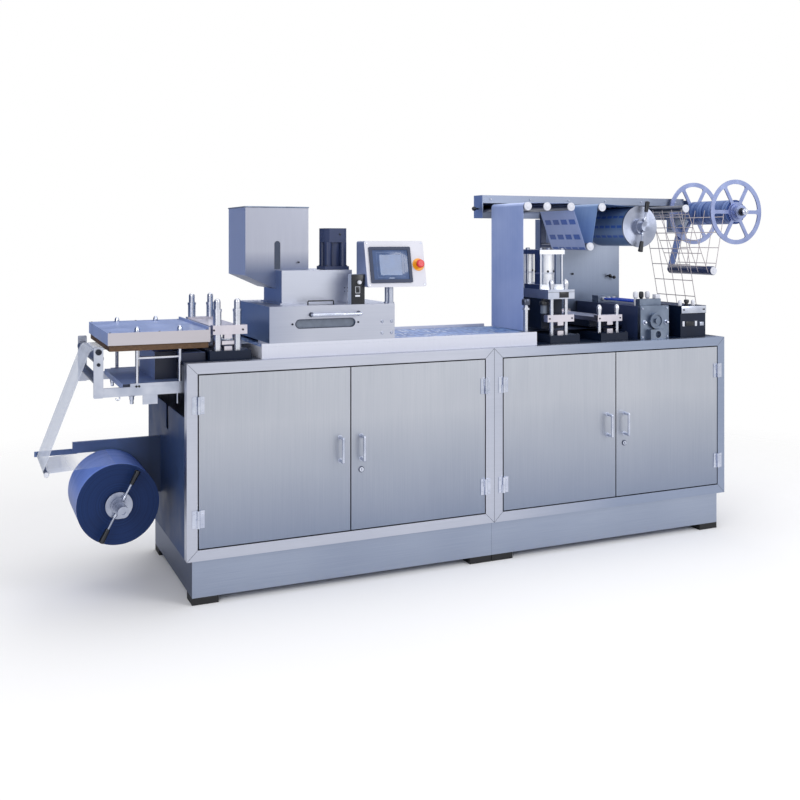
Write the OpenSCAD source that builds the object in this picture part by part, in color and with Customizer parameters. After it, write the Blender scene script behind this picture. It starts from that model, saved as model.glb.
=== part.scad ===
/* [Cabinet] */
// Length of the left bay
left_bay_l = 1290; // [1200:10:1400]
// Length of the right bay
right_bay_l = 1235; // [1200:5:1400]
// Depth of the cabinets, front to back
cabinet_d = 790; // [780:5:860]
// Height of the table above the floor
table_h = 900; // [860:5:940]
// Thickness of the table plate
table_t = 12; // [8:1:20]
// Face width of the frame bars round the doors
frame_w = 40; // [32:1:50]
// Depth of the frame bars
frame_d = 40; // [34:1:50]
// Thickness of the cabinet panels
panel_t = 4; // [2:0.5:6]
// Height of the plinth
plinth_h = 143; // [100:1:160]
// Distance of the plinth behind the frame
plinth_recess = 25; // [15:1:40]
// Height of the foot pads
foot_h = 27; // [15:1:40]
// Length of a foot pad
foot_l = 100; // [60:1:140]
// Depth of a foot pad
foot_d = 90; // [60:1:120]
// Height of the left end panel above the floor
end_panel_h = 695; // [650:5:740]
// Width of the notch in the left end panel
notch_w = 50; // [30:1:80]
// Depth of the notch in the left end panel
notch_h = 95; // [60:1:120]

/* [Doors] */
// Thickness of a door
door_t = 20; // [16:1:26]
// Gap round a door
door_gap = 5; // [5:0.5:8]
// Height of a hinge
hinge_h = 65; // [50:1:80]
// Width of a hinge leaf
hinge_leaf_w = 17; // [14:0.5:22]
// Thickness of a hinge leaf
hinge_leaf_t = 3; // [2:0.5:4]
// Radius of a hinge barrel
barrel_r = 6; // [5:0.5:7]
// Radius of a hinge pin
pin_r = 2.5; // [2:0.1:3]
// Distance of a hinge's middle from the end of its door
hinge_inset = 110; // [80:1:160]
// Length of a door handle
handle_l = 102; // [90:1:130]
// Radius of a handle's bar
handle_r = 6; // [5:0.5:8]
// Distance of a handle's bar from the door
handle_reach = 36; // [30:1:45]
// Distance of a handle from the edge where two doors meet
handle_inset = 42; // [36:1:60]
// Height of the door handles above the floor
handle_h = 537; // [480:1:600]
// Radius of a door lock
lock_r = 9; // [7:0.5:12]
// Distance of a door lock below its handle
lock_drop = 87; // [75:1:110]

/* [Film] */
// Width of the film, foil and waste webs
web_w = 290; // [240:5:300]
// Distance of the middle of the webs from the cabinet's front
web_y = 345; // [340:1:350]
// Height of the web's path above the table
web_rise = 45; // [43:0.5:46]
// Thickness of a web
web_t = 1; // [0.6:0.1:1.2]
// Radius of the full film roll
film_roll_r = 152; // [110:1:156]
// Distance of the film roll's axis from the cabinet's end
film_roll_out = 215; // [205:1:230]
// Height of the film roll's axis above the floor
film_roll_h = 360; // [345:1:370]
// Radius of the roll spindles
spindle_r = 16; // [12:0.5:20]
// Thickness of the roll arm
arm_t = 20; // [14:1:26]
// Height of the roll arm's section
arm_h = 43; // [36:1:50]
// Reach of the roll arm from the cabinet's end
arm_reach = 347; // [335:1:360]
// Height of the roll arm's top above the floor
arm_top = 545; // [535:1:560]
// Radius of the film roll's clamp
clamp_r = 50; // [40:1:60]
// Radius of the tension rod
rod_r = 7; // [5:0.5:9]
// Distance of the tension rod from the cabinet's end
rod_out = 475; // [460:1:490]
// Radius of the infeed rollers
infeed_r = 20; // [16:0.5:22]
// Distance of the infeed rollers from the cabinet's end
infeed_out = 302; // [298:1:310]
// Thickness of the infeed brackets
bracket_t = 10; // [8:0.5:14]

/* [Stations] */
// Thickness of the heater's top plate
heater_t = 46; // [40:1:60]
// Thickness of the heater's insulating board
board_t = 22; // [16:1:28]
// Gap between the web's path and the heater's board
heater_gap = 4; // [3:0.5:8]
// Reach of the heater past the cabinet's end
heater_out = 271; // [255:1:276]
// Length of the heater along the machine
heater_l = 375; // [360:1:380]
// Depth of the heater, front to back
heater_d = 555; // [540:5:560]
// Radius of the tie columns
column_r = 6.5; // [5:0.5:8]
// Radius of the forming guide posts
post_r = 15.5; // [13:0.5:17]
// Height of the forming guide posts above the table
post_h = 232; // [210:1:250]
// Distance between the two forming posts of a pair
post_pitch = 78; // [70:1:84]
// Radius of the sealing guide posts
seal_post_r = 9; // [7:0.5:11]
// Length of the sealing station along the machine
seal_l = 138; // [130:1:145]
// Gap between the guide rail and the sealing station
seal_gap = 89; // [80:1:96]
// Height of the sealing platen's top above the table
platen_top = 234; // [224:1:240]
// Thickness of the sealing platen
platen_t = 41; // [32:1:46]
// Radius of the sealing air cylinders
air_r = 45; // [38:1:48]
// Length of the air cylinders' barrels
air_l = 136; // [120:1:150]
// Side of the air cylinders' square caps
air_cap = 132; // [124:1:140]
// Gap between the sealing station and the second stand
stand_gap = 128; // [110:1:140]
// Length of the second stand along the machine
stand_l = 133; // [125:1:140]
// Gap between the second stand and the draw block
draw_gap = 68; // [60:1:80]
// Length of the draw block along the machine
draw_l = 160; // [150:1:170]
// Height of the draw block
draw_h = 150; // [130:1:160]
// Gap between the draw block and the punch block
punch_gap = 78; // [75:1:90]
// Length of the punch block along the machine
punch_l = 147; // [130:1:160]
// Height of the punch block
punch_h = 146; // [130:1:155]

/* [Feeder and panel] */
// Length of the guide rail
rail_l = 1227; // [1210:1:1240]
// Place of the guide rail from the cabinet's end
rail_x = 296; // [290:1:300]
// Height of the guide rail's lips above the table
rail_h = 57; // [54:0.5:62]
// Length of the feeder's base
feeder_l = 525; // [500:5:540]
// Height of the feeder's base
feeder_h = 141; // [130:1:150]
// Length of the feeder's upper box
upper_l = 299; // [290:1:310]
// Height of the feeder's upper box
upper_h = 135; // [125:1:145]
// Length of the hopper
hopper_l = 265; // [255:1:280]
// Height of the hopper above the upper box
hopper_h = 256; // [200:1:280]
// Thickness of the hopper's walls
hopper_t = 3; // [2:0.5:5]
// Radius of the feeder motor
motor_r = 48; // [42:1:52]
// Width of the control panel
panel_w = 260; // [240:5:280]
// Height of the control panel
panel_h = 190; // [180:5:210]
// Depth of the control panel at its top
panel_d = 80; // [60:1:90]
// Tilt of the control panel
panel_tilt = 13; // [5:1:20]

/* [Foil and waste] */
// Length of the foil beam
beam_l = 1200; // [1180:5:1210]
// Distance of the foil beam's end before the sealing station
beam_lead = 97; // [90:1:105]
// Height of the foil beam's top above the floor
beam_top = 1568; // [1555:1:1580]
// Height of the foil beam's back plate
beam_h = 109; // [100:1:115]
// Depth of the foil beam
beam_d = 85; // [70:1:95]
// Thickness of the foil beam's sheet
beam_t = 4; // [3:0.5:6]
// Radius of the guide rollers
guide_r = 16; // [13:0.5:17]
// Radius of the full foil roll
foil_roll_r = 92; // [70:1:95]
// Radius of the foil roll's flange
foil_flange_r = 98; // [96:1:105]
// Radius of the waste reel
reel_r = 161; // [140:1:165]
// Width of the waste reel's rim
rim_w = 22; // [16:1:28]
// Width of a waste reel spoke
spoke_w = 18; // [12:1:24]
// Radius of the wound waste
waste_r = 60; // [54:1:80]
// Radius of the dancer roller
dancer_r = 22; // [16:1:26]

/* [Hidden] */
$fn = 64;
// Clearances: flat seats between curved faces, running pins, gaps between bars, gaps between seated pieces
curve_gap = 0.3;
run_gap = 0.05;
mitre_gap = 0.3;
part_gap = 0.2;
// Cabinet places: x from the left end, y from the front face, z from the floor
cabinet_l = left_bay_l + right_bay_l;
frame_z = foot_h + plinth_h;
deck_z = table_h - table_t;
bay_x = [0, left_bay_l];
bay_l = [left_bay_l, right_bay_l];
door_z = frame_z + frame_w + door_gap;
door_h = table_h - frame_w - door_gap - door_z;
hinge_y = -barrel_r - 0.5;
// The line of webs along the machine
web_z = table_h + web_rise;
web_y0 = web_y - web_w / 2;
web_y1 = web_y + web_w / 2;
web_off = web_t / 2 + curve_gap;
roll_end = web_y0 - 8;
station_y0 = 60;
station_y1 = 560;
post_y = [90, 535];
seal_y = [110, 530];
// Film side
film_c = [-film_roll_out, film_roll_h];
rod_c = [-rod_out, arm_top - arm_h + 4];
infeed_c = [-infeed_out, web_z - infeed_r - web_off];
arm_y = web_y1 + 20;
link_t = 10;
bracket_y = [80, 575];
bar_z = table_h - 117;
bar_h = 33;
bar_step = 12;
bar_top = bar_z + bar_h + bar_step;
bracket_w = 34;
clamp_t = 20;
grip_r = 11;
// Heater and forming
board_z = web_z + heater_gap;
plate_z = board_z + board_t;
heater_y = 69;
low_plate_out = 215;
low_plate_t = 22;
low_plate_top = bar_top - 2;
column_x = [-165, -8];
column_y = [for (y = bracket_y) y + bracket_t / 2];
block_top = web_z - 15;
base_h = 35;
post_x = [135, 135 + post_pitch];
cross_z = table_h + 96;
cross_t = 35;
seal_x = rail_x + rail_l + seal_gap;
stand_x = seal_x + seal_l + stand_gap;
draw_x = stand_x + stand_l + draw_gap;
punch_x = draw_x + draw_l + punch_gap;
seal_xs = [seal_x + 30, seal_x + seal_l - 33];
platen_y = [station_y0 + 30, station_y1 - 10];
seal_bar_z = table_h + 91;
stand_xs = [stand_x + 18, stand_x + stand_l - 18];
stand_bar_z = table_h + 85;
stand_bar_t = 29;
// Feeder and panel
rail_y = [40, 520];
rail_top = table_h + rail_h;
rail_floor = web_z - web_t / 2;
feeder_x = rail_x + 30;
feeder_d = 460;
feeder_top = rail_top + feeder_h;
upper_x = feeder_x + 83;
upper_y = rail_y[0] + 110;
upper_d = 250;
upper_top = feeder_top + upper_h;
hopper_x = upper_x - 126;
hopper_y = upper_y + 80;
hopper_d = 266;
hopper_top = upper_top + hopper_h;
motor_c = [upper_x + upper_l - motor_r - 6, upper_y + 80];
panel_c = [855, 40, feeder_top + 160];
panel_rise = panel_h / 2 * cos(panel_tilt);
panel_lean = panel_h / 2 * sin(panel_tilt);
tube_r = 11.5;
tube_x = 838;
tube_y = [53, 84];
// Air manifolds on the draw block, front and back
manifold_in = 20;
manifold_off = 60;
manifold_t = 30;
manifold_back_t = 50;
manifold_y = [station_y0 + manifold_in, web_y + manifold_off];
// Foil and waste
beam_x = seal_x - beam_lead;
beam_y = 515;
beam_back = beam_y + beam_d;
beam_z = beam_top - beam_h;
pillar_y = station_y1 + 5;
pillar_x = [beam_x + 445, beam_x + 826];
pillar_seam = 1232;
roller_z = beam_top - 62;
guide_x = [for (out = [53, 154, 282, 453, 940]) beam_x + out];
low_c = [beam_x + 386, beam_top - 244];
foil_c = [beam_x + 671, beam_top - 151];
reel_c = [beam_x + 1252, beam_top - 75];
disc_t = 6;
hub_r = 50;
reel_y = [web_y0 - 16, web_y1 + 2];
dancer_pivot = [beam_x + 1177, beam_top - 152];
dancer_c = [beam_x + 1110, beam_top - 365];
dancer_y = reel_y[1] + disc_t + 8;
dancer_t = 10;
pivot_r = 8;
// Middle of the whole machine, which is the origin
x_min = -rod_out - 15;
x_max = reel_c[0] + reel_r;
y_min = -handle_reach - handle_r;
mid_x = (x_min + x_max) / 2;
mid_y = (y_min + cabinet_d) / 2;

// Places drawn from the cabinet's lower front left corner
module machine() translate([-mid_x, -mid_y, 0]) children();

// Box between two corners
module block(low, high) translate(low) cube(high - low);

// Cylinder along Y from one y to another, about a point in the x-z plane
module rod_y(c, r, y0, y1) translate([c[0], y0, c[1]]) rotate([-90, 0, 0]) cylinder(r = r, h = y1 - y0);

// Flat outline in the x-z plane, extruded from one y to another
module plate_y(y0, y1) translate([0, y1, 0]) rotate([90, 0, 0]) linear_extrude(y1 - y0) children();

// Direction of the line that runs from one circle to the next; side is 1 for a circle on the left
function run_dir(c1, r1, s1, c2, r2, s2) =
    atan2(c2[1] - c1[1], c2[0] - c1[0]) - asin((s2 * r2 - s1 * r1) / norm(c2 - c1));
// Point where such a line touches a circle
function touch(c, r, s, dir) = c - s * r * [-sin(dir), cos(dir)];

// Straight stretch of web between two points
module web_leg(p, q, y0, y1) {
    len = norm(q - p);
    translate([p[0], 0, p[1]])
        rotate([0, -atan2(q[1] - p[1], q[0] - p[0]), 0])
            block([0.1, y0, -web_t / 2], [len - 0.1, y1, web_t / 2]);
}

// Stretch of web that bends round a roller
module web_bend(c, r, s, from, to, y0, y1) {
    steps = 10;
    dirs = [for (i = [0 : steps]) from + (to - from) * i / steps];
    inner = [for (d = dirs) touch(c, r - web_t / 2, s, d)];
    outer = [for (i = [steps : -1 : 0]) touch(c, r + web_t / 2, s, dirs[i])];
    plate_y(y0, y1) polygon(concat(inner, outer));
}

// Row of lines along a straight stretch of waste web, with cross lines
module lattice_leg(p, q) {
    len = norm(q - p);
    line_w = 4;
    lines = 5;
    pitch = (web_w - line_w) / (lines - 1);
    rungs = max(2, round(len / 75));
    translate([p[0], 0, p[1]])
        rotate([0, -atan2(q[1] - p[1], q[0] - p[0]), 0]) {
            for (i = [0 : lines - 1])
                translate([0.1, web_y0 + i * pitch, -web_t / 2]) cube([len - 0.2, line_w, web_t]);
            for (i = [0.5 : rungs])
                translate([len * i / rungs, web_y0, -web_t / 2]) cube([line_w, web_w, web_t]);
        }
}

// Plate with round corners in the x-z plane, from one y to another
module round_plate(x0, z0, x1, z1, r, y0, y1) {
    block([x0 + r, y0, z0], [x1 - r, y1, z1]);
    block([x0, y0, z0 + r], [x1, y1, z1 - r]);
    for (x = [x0 + r, x1 - r])
        for (z = [z0 + r, z1 - r]) rod_y([x, z], r, y0, y1);
}

// Point at a distance and an angle, and points along an arc
function polar(r, a) = r * [cos(a), sin(a)];
function arc(c, r, from, to, steps = 6) =
    [for (i = [0 : steps]) c + polar(r, from + (to - from) * i / steps)];

// Mitred bar of a door frame: a trapezoid with its long side on the outer edge
module frame_bar(len) {
    g = mitre_gap / 2;
    plate_y(0, frame_d)
        polygon([[g * 2, 0], [len - g * 2, 0], [len - frame_w - g, frame_w], [frame_w + g, frame_w]]);
}

module front_frames() color("#b3b8c6") machine() {
    h = table_h - frame_z;
    for (i = [0, 1]) {
        w = bay_l[i] - mitre_gap;
        translate([bay_x[i], 0, frame_z]) {
            frame_bar(w);
            translate([w, 0, h]) rotate([0, 180, 0]) frame_bar(w);
            translate([w, 0, 0]) rotate([0, -90, 0]) frame_bar(h);
            translate([0, 0, h]) rotate([0, 90, 0]) frame_bar(h);
        }
    }
}

module cabinet_panels() color("#9aa1b3") machine() {
    for (i = [0, 1])
        block([bay_x[i], cabinet_d - panel_t, frame_z], [bay_x[i] + bay_l[i] - mitre_gap, cabinet_d, deck_z]);
    block([cabinet_l - mitre_gap - panel_t, frame_d, frame_z],
        [cabinet_l - mitre_gap, cabinet_d - panel_t - mitre_gap, deck_z]);
}

module left_end_panel() color("#46546f") machine() {
    y1 = cabinet_d - panel_t - mitre_gap;
    difference() {
        block([0, frame_d, frame_z], [panel_t, y1, end_panel_h]);
        block([-1, web_y, end_panel_h - notch_h], [panel_t + 1, web_y + notch_w, end_panel_h + 1]);
    }
}

module plinth() color("#a4a9b8") machine()
    for (i = [0, 1])
        block([bay_x[i] + (i == 0 ? plinth_recess : mitre_gap), plinth_recess, foot_h],
            [bay_x[i] + bay_l[i] - (i == 1 ? plinth_recess : mitre_gap), cabinet_d - plinth_recess, frame_z]);

module feet() color("#17181c") machine()
    for (x = [plinth_recess, left_bay_l - foot_l - 2, left_bay_l + 2, cabinet_l - plinth_recess - foot_l])
        for (y = [plinth_recess, cabinet_d - plinth_recess - foot_d])
            block([x, y, 0], [x + foot_l, y + foot_d, foot_h]);

module table_top() color("#1d1f26") machine()
    block([0, frame_d, deck_z], [cabinet_l - mitre_gap, cabinet_d, table_h]);

// Places of the door hinges: the axis, and 1 where the door lies to its right
function bay_of(n) = n < 3 ? 0 : 1;
function side_of(n) = n % 2 == 1 ? 1 : -1;
function open_x0(i) = bay_x[i] + frame_w;
function open_x1(i) = bay_x[i] + bay_l[i] - frame_w - mitre_gap;
function axis_x(n) = side_of(n) == 1 ? open_x0(bay_of(n)) + door_gap / 2 : open_x1(bay_of(n)) - door_gap / 2;
function door_w(n) = (open_x1(bay_of(n)) - open_x0(bay_of(n)) - 3 * door_gap) / 2;
hinge_zs = [door_z + hinge_inset, door_z + door_h - hinge_inset];

// Puts children at the hinge axis of a door, mirrored for a door that hangs on its right
module at_hinge(n) machine() translate([axis_x(n), 0, 0]) mirror([side_of(n) == 1 ? 0 : 1, 0, 0]) children();

// Door folded from sheet: a shallow pan, open at the back
module door(n) color("#b9becb") at_hinge(n) {
    skin = 2;
    rim = 18;
    x0 = door_gap / 2;
    x1 = x0 + door_w(n);
    difference() {
        block([x0, 0, door_z], [x1, door_t, door_z + door_h]);
        block([x0 + rim, skin, door_z + rim], [x1 - rim, door_t + 1, door_z + door_h - rim]);
    }
}

// Bow handle: a bar on two stems with rounded corners, along Z
module bow(len, r, reach) {
    for (z = [-1, 1]) {
        translate([0, 0, z * (len / 2 - r)]) rotate([90, 0, 0]) cylinder(r = r, h = reach);
        translate([0, -reach, z * (len / 2 - r)]) sphere(r = r);
    }
    translate([0, -reach, r - len / 2]) cylinder(r = r, h = len - 2 * r);
}

module door_fittings(n) color("#c6c8ce") at_hinge(n) {
    for (z = hinge_zs) {
        difference() {
            union() {
                translate([0, hinge_y, z + curve_gap]) cylinder(r = barrel_r, h = hinge_h / 2 - curve_gap);
                block([0, hinge_y - hinge_leaf_t / 2, z + curve_gap],
                    [barrel_r, hinge_y + hinge_leaf_t / 2, z + hinge_h / 2]);
                block([barrel_r - 1, hinge_y - hinge_leaf_t / 2, z + curve_gap],
                    [barrel_r + 2, 0, z + hinge_h / 2]);
                block([barrel_r - 1, -hinge_leaf_t, z - hinge_h / 2],
                    [barrel_r + hinge_leaf_w, 0, z + hinge_h / 2]);
            }
            translate([0, hinge_y, z - hinge_h]) cylinder(r = pin_r + run_gap, h = 2 * hinge_h);
        }
    }
    x = door_gap / 2 + door_w(n) - handle_inset;
    translate([x, 0, handle_h]) bow(handle_l, handle_r, handle_reach);
    if (side_of(n) == -1)
        translate([x, 0, handle_h - lock_drop]) rotate([90, 0, 0]) cylinder(r = lock_r, h = 5);
}

module frame_hinges() color("#c6c8ce")
    for (n = [1 : 4]) at_hinge(n)
        for (z = hinge_zs) {
            translate([0, hinge_y, z - hinge_h / 2]) cylinder(r = barrel_r, h = hinge_h / 2);
            translate([0, hinge_y, z]) cylinder(r = pin_r, h = hinge_h / 2);
            block([-barrel_r - 2, hinge_y - hinge_leaf_t / 2, z - hinge_h / 2], [-barrel_r + 1, 0, z]);
            block([-barrel_r, hinge_y - hinge_leaf_t / 2, z - hinge_h / 2],
                [0, hinge_y + hinge_leaf_t / 2, z]);
            block([-barrel_r - hinge_leaf_w, -hinge_leaf_t, z - hinge_h / 2],
                [-barrel_r + 1, 0, z + hinge_h / 2]);
        }

// Arm at the left end that carries the film roll's spindle and the link of the tension rod
module roll_arm() color("#3c4a66") machine() {
    hub = 45;
    nose = 30;
    collar_r = spindle_r * 1.8;
    link_h = 20;
    plate_y(arm_y, arm_y + arm_t)
        polygon([[-arm_reach, arm_top - arm_h], [-arm_reach, arm_top], [0, arm_top], [0, film_c[1] - hub],
            [film_c[0] - hub, film_c[1] - hub], [film_c[0] - hub, arm_top - arm_h]]);
    rod_y(film_c, spindle_r, roll_end - clamp_t - nose, arm_y + arm_t / 2);
    rod_y(film_c, collar_r, web_y1 + 6, arm_y + arm_t / 2);
    translate([0, arm_y + arm_t, rod_c[1]])
        block([rod_c[0] - 15, 0, -link_h / 2], [link_h - arm_reach, link_t, link_h / 2]);
}

module film_roll() color("#4a66ad") machine()
    difference() {
        rod_y(film_c, film_roll_r, web_y0, web_y1);
        rod_y(film_c, spindle_r + run_gap, web_y0 - 1, web_y1 + 1);
    }

// Clamp on the front of the film roll: a disc, a boss, a nose with a socket, and two levers with grips
module roll_clamp() color("#c3c6cd") machine() {
    boss = 35;
    nose = 96;
    lever_l = 95;
    grip_l = 46;
    socket_r = 9;
    difference() {
        union() {
            rod_y(film_c, clamp_r, web_y0 - clamp_t, web_y0);
            rod_y(film_c, clamp_r * 0.62, web_y0 - clamp_t - 12, web_y0);
            rod_y(film_c, clamp_r / 2, roll_end - clamp_t - boss, web_y0);
            rod_y(film_c, clamp_r * 0.42, roll_end - clamp_t - nose, web_y0);
            for (a = [62, 242])
                translate([film_c[0], web_y0 - clamp_t - 14, film_c[1]]) rotate([0, 90 - a, 0]) {
                    cylinder(r = 5, h = lever_l);
                    translate([0, 0, lever_l - 1]) cylinder(r1 = grip_r * 0.8, r2 = grip_r, h = grip_l);
                }
        }
        rod_y(film_c, spindle_r + run_gap, roll_end - clamp_t - boss + 4, web_y0 + 1);
        translate([film_c[0], roll_end - clamp_t - nose - 1, film_c[1]]) rotate([-90, 0, 0])
            cylinder(r = socket_r, h = 6, $fn = 6);
    }
}

film_dir_1 = run_dir(film_c, film_roll_r + web_off, 1, rod_c, rod_r + web_off, -1);
film_dir_2 = run_dir(rod_c, rod_r + web_off, -1, infeed_c, infeed_r + web_off, -1);
film_end = rail_x - 2;

module film_web() color("#d5d8ec") machine() {
    web_leg(touch(film_c, film_roll_r + web_off, 1, film_dir_1),
        touch(rod_c, rod_r + web_off, -1, film_dir_1), web_y0, web_y1);
    web_bend(rod_c, rod_r + web_off, -1, film_dir_1, film_dir_2, web_y0, web_y1);
    web_leg(touch(rod_c, rod_r + web_off, -1, film_dir_2),
        touch(infeed_c, infeed_r + web_off, -1, film_dir_2), web_y0, web_y1);
    web_bend(infeed_c, infeed_r + web_off, -1, film_dir_2, 0, web_y0, web_y1);
    web_leg([infeed_c[0], web_z], [film_end, web_z], web_y0, web_y1);
}

module infeed_rollers() color("#c9ccd4") machine() {
    low_r = infeed_r - 4;
    low_z = bar_z + 57;
    tail = 50;
    rod_y(infeed_c, infeed_r, bracket_y[0] + bracket_t, bracket_y[1]);
    rod_y([infeed_c[0], low_z], low_r, bracket_y[0] + bracket_t, bracket_y[1]);
    rod_y(rod_c, rod_r, web_y0 - tail, arm_y + arm_t);
}

// Roller brackets on stepped side bars, which hang from the table plate inside the cabinet
module infeed_brackets() color("#d3d5db") machine() {
    x1 = infeed_c[0] + bracket_w / 2;
    step_x = -190;
    lug_x = [-144, -91];
    lug_h = 34;
    for (y = bracket_y) {
        round_plate(x1 - bracket_w, bar_z - 2, x1, web_z + infeed_r, 4, y, y + bracket_t);
        block([x1 + part_gap, y, bar_z], [0, y + bracket_t, bar_z + bar_h]);
        block([step_x, y, bar_z + bar_h + part_gap], [0, y + bracket_t, bar_top]);
        block([part_gap, y, bar_z], [frame_w, y + bracket_t, deck_z]);
        block([lug_x[0], y, bar_z - lug_h], [lug_x[1], y + bracket_t, bar_z - part_gap]);
    }
}

// Heating plate with a thin raised edge towards the forming station
module heater_plate() color("#8f9bc0") machine() {
    x1 = heater_l - heater_out;
    edge_t = 6;
    edge_h = 10;
    block([-heater_out, heater_y, plate_z], [x1, heater_y + heater_d, plate_z + heater_t]);
    block([x1 - edge_t, heater_y, plate_z], [x1, heater_y + heater_d, plate_z + heater_t + edge_h]);
}

module heater_board() color("#7a5a3a") machine() {
    inset = 6;
    block([inset - heater_out, heater_y + inset, board_z],
        [heater_l - heater_out - inset, heater_y + heater_d - inset, plate_z]);
}

// Lower plate between the side bars, with its upright, and the lower die on the table
module heater_block() color("#53617f") machine() {
    y0 = bracket_y[0] + bracket_t + part_gap;
    y1 = bracket_y[1] - part_gap;
    gap = 2;
    upright_out = 85;
    upright_side = 30;
    die_l = 88;
    block([-low_plate_out, y0, low_plate_top - low_plate_t], [-gap, y1, low_plate_top]);
    block([-upright_out, web_y0 - upright_side, low_plate_top - 1],
        [-gap, web_y1 + upright_side, block_top]);
    block([gap, y0, table_h], [gap + die_l, y1, block_top]);
}

// Round post with a stepped, domed head
module domed_post(r, z0, z1) {
    neck = r * 0.8;
    ring = r * 1.12;
    dome = neck;
    rotate_extrude()
        polygon(concat(
            [[0, z0], [r, z0], [r, z1 - 3.2 * r], [ring, z1 - 3.2 * r], [ring, z1 - 2.6 * r]],
            [[neck, z1 - 2.6 * r]],
            [for (a = [0 : 15 : 90]) [dome * cos(a), z1 - dome + dome * sin(a)]]));
}

// Round post under an egg-shaped nut
module capped_post(r, z0, z1) {
    nut_r = r * 1.35;
    nut_h = r * 4.2;
    waist = z1 - nut_h * 0.55;
    rotate_extrude()
        polygon(concat(
            [[0, z0], [r, z0], [r, z1 - nut_h], [nut_r * 0.85, z1 - nut_h]],
            [for (a = [-20 : 10 : 90]) [nut_r * cos(a), waist + nut_h * (a < 0 ? 0.4 : 0.55) * sin(a)]]));
}

// Tie columns of the heater, posts of the stations, and a pillar at the end of the rail
module guide_posts() color("#d9dbe0") machine() {
    tie_r = 5;
    tie_z = table_h + 20;
    for (y = column_y) {
        for (x = column_x)
            translate([x, y, bar_top]) cylinder(r = column_r, h = board_z - bar_top);
        translate([column_x[0], y, tie_z]) rotate([0, 90, 0])
            cylinder(r = tie_r, h = column_x[1] - column_x[0]);
    }
    for (x = post_x)
        for (y = post_y)
            translate([x, y, 0]) domed_post(post_r, table_h + base_h, table_h + post_h);
    for (y = seal_y) {
        for (x = seal_xs)
            translate([x, y, 0]) capped_post(seal_post_r, table_h + base_h, table_h + platen_top + 46);
        for (x = stand_xs)
            translate([x, y, 0]) capped_post(seal_post_r, table_h + base_h, stand_bar_z + stand_bar_t + 48);
    }
    translate([rail_x + rail_l - 31, rail_y[0] + 40, rail_floor]) {
        domed_post(seal_post_r, 0, 145);
        cylinder(r = seal_post_r * 2.2, h = 9);
        translate([0, 0, 107]) cylinder(r = seal_post_r * 1.8, h = 8);
    }
}

// Bar across two posts, drilled for them
module cross_bar(xs, x0, x1, y, half, z0, z1, r)
    difference() {
        block([x0, y - half, z0], [x1, y + half, z1]);
        for (x = xs) translate([x, y, z0 - 1]) cylinder(r = r + run_gap, h = z1 - z0 + 2);
    }

// Bars across the posts, plates between them, and small stops below each front bar and on each base
module cross_plates() color("#ced0da") machine() {
    bar_half = 20;
    thin_half = 16;
    stop_w = 30;
    stop_h = 16;
    for (y = post_y)
        cross_bar(post_x, post_x[0] - 21, post_x[1] + 34, y, bar_half, cross_z, cross_z + cross_t, post_r);
    block([post_x[0] - 12, post_y[0] + bar_half + part_gap, cross_z + 8],
        [post_x[1] + 24, post_y[1] - bar_half - part_gap, cross_z + cross_t - 8]);
    block([post_x[0] + post_r + part_gap, post_y[0] - 12, web_z + 12],
        [post_x[1] - post_r - part_gap, post_y[0] + 12, web_z + 26]);
    for (y = seal_y) {
        cross_bar(seal_xs, seal_x, seal_x + seal_l, y, thin_half, seal_bar_z, seal_bar_z + 31, seal_post_r);
        cross_bar(stand_xs, stand_x, stand_x + stand_l, y, thin_half,
            stand_bar_z, stand_bar_z + stand_bar_t, seal_post_r);
    }
    block([stand_x + 8, seal_y[0] + thin_half + part_gap, stand_bar_z],
        [stand_x + stand_l - 8, seal_y[1] - thin_half - part_gap, stand_bar_z + 18]);
    fronts = [[post_x, post_y[0], cross_z], [seal_xs, seal_y[0], seal_bar_z],
        [stand_xs, seal_y[0], stand_bar_z]];
    for (s = fronts)
        for (z = [s[2] - stop_h - part_gap, table_h + base_h])
            translate([(s[0][0] + s[0][1]) / 2, s[1], z])
                block([-stop_w / 2, -stop_w / 2, 0], [stop_w / 2, stop_w / 2, stop_h]);
}

// Black bases of the stations, and the upper dies that hang from the platen and the stand
module station_bases() color("#1a1b20") machine() {
    edge = 7;
    inset = 14;
    lift = 10;
    block([post_x[0] - 35, station_y0, table_h], [post_x[1] + 47, station_y1, table_h + base_h]);
    block([seal_x - edge, station_y0, table_h], [seal_x + seal_l + edge, station_y1, table_h + base_h]);
    block([seal_x + inset, web_y0 - 30, web_z + lift],
        [seal_x + seal_l - inset, web_y1, table_h + platen_top - platen_t]);
    block([stand_x - edge, station_y0, table_h], [stand_x + stand_l + edge, station_y1, table_h + base_h]);
    block([stand_x + inset, web_y0 - 20, web_z + lift], [stand_x + stand_l - inset, web_y1, stand_bar_z]);
}

// Tray for the formed web: floor, thin lips, and rests for the feeder on both sides of the web
module guide_rail() color("#d6d7e2") machine() {
    x1 = rail_x + rail_l;
    lip_t = 8;
    side = 2;
    block([rail_x, rail_y[0], table_h], [x1, rail_y[1], rail_floor]);
    for (y = [rail_y[0], rail_y[1] - lip_t])
        block([rail_x, y, rail_floor + part_gap], [x1, y + lip_t, rail_top]);
    for (ys = [[rail_y[0] + lip_t + part_gap, web_y0 - side], [web_y1 + side, rail_y[1] - lip_t - part_gap]])
        block([feeder_x, ys[0], rail_floor + part_gap], [feeder_x + feeder_l, ys[1], rail_top]);
}

// Formed strip on its way from the forming station to the punch
module blister_web() color("#7f93c8") machine()
    block([rail_x, web_y0, web_z - web_t / 2], [draw_x + draw_l + 70, web_y1, web_z + web_t / 2]);

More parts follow.
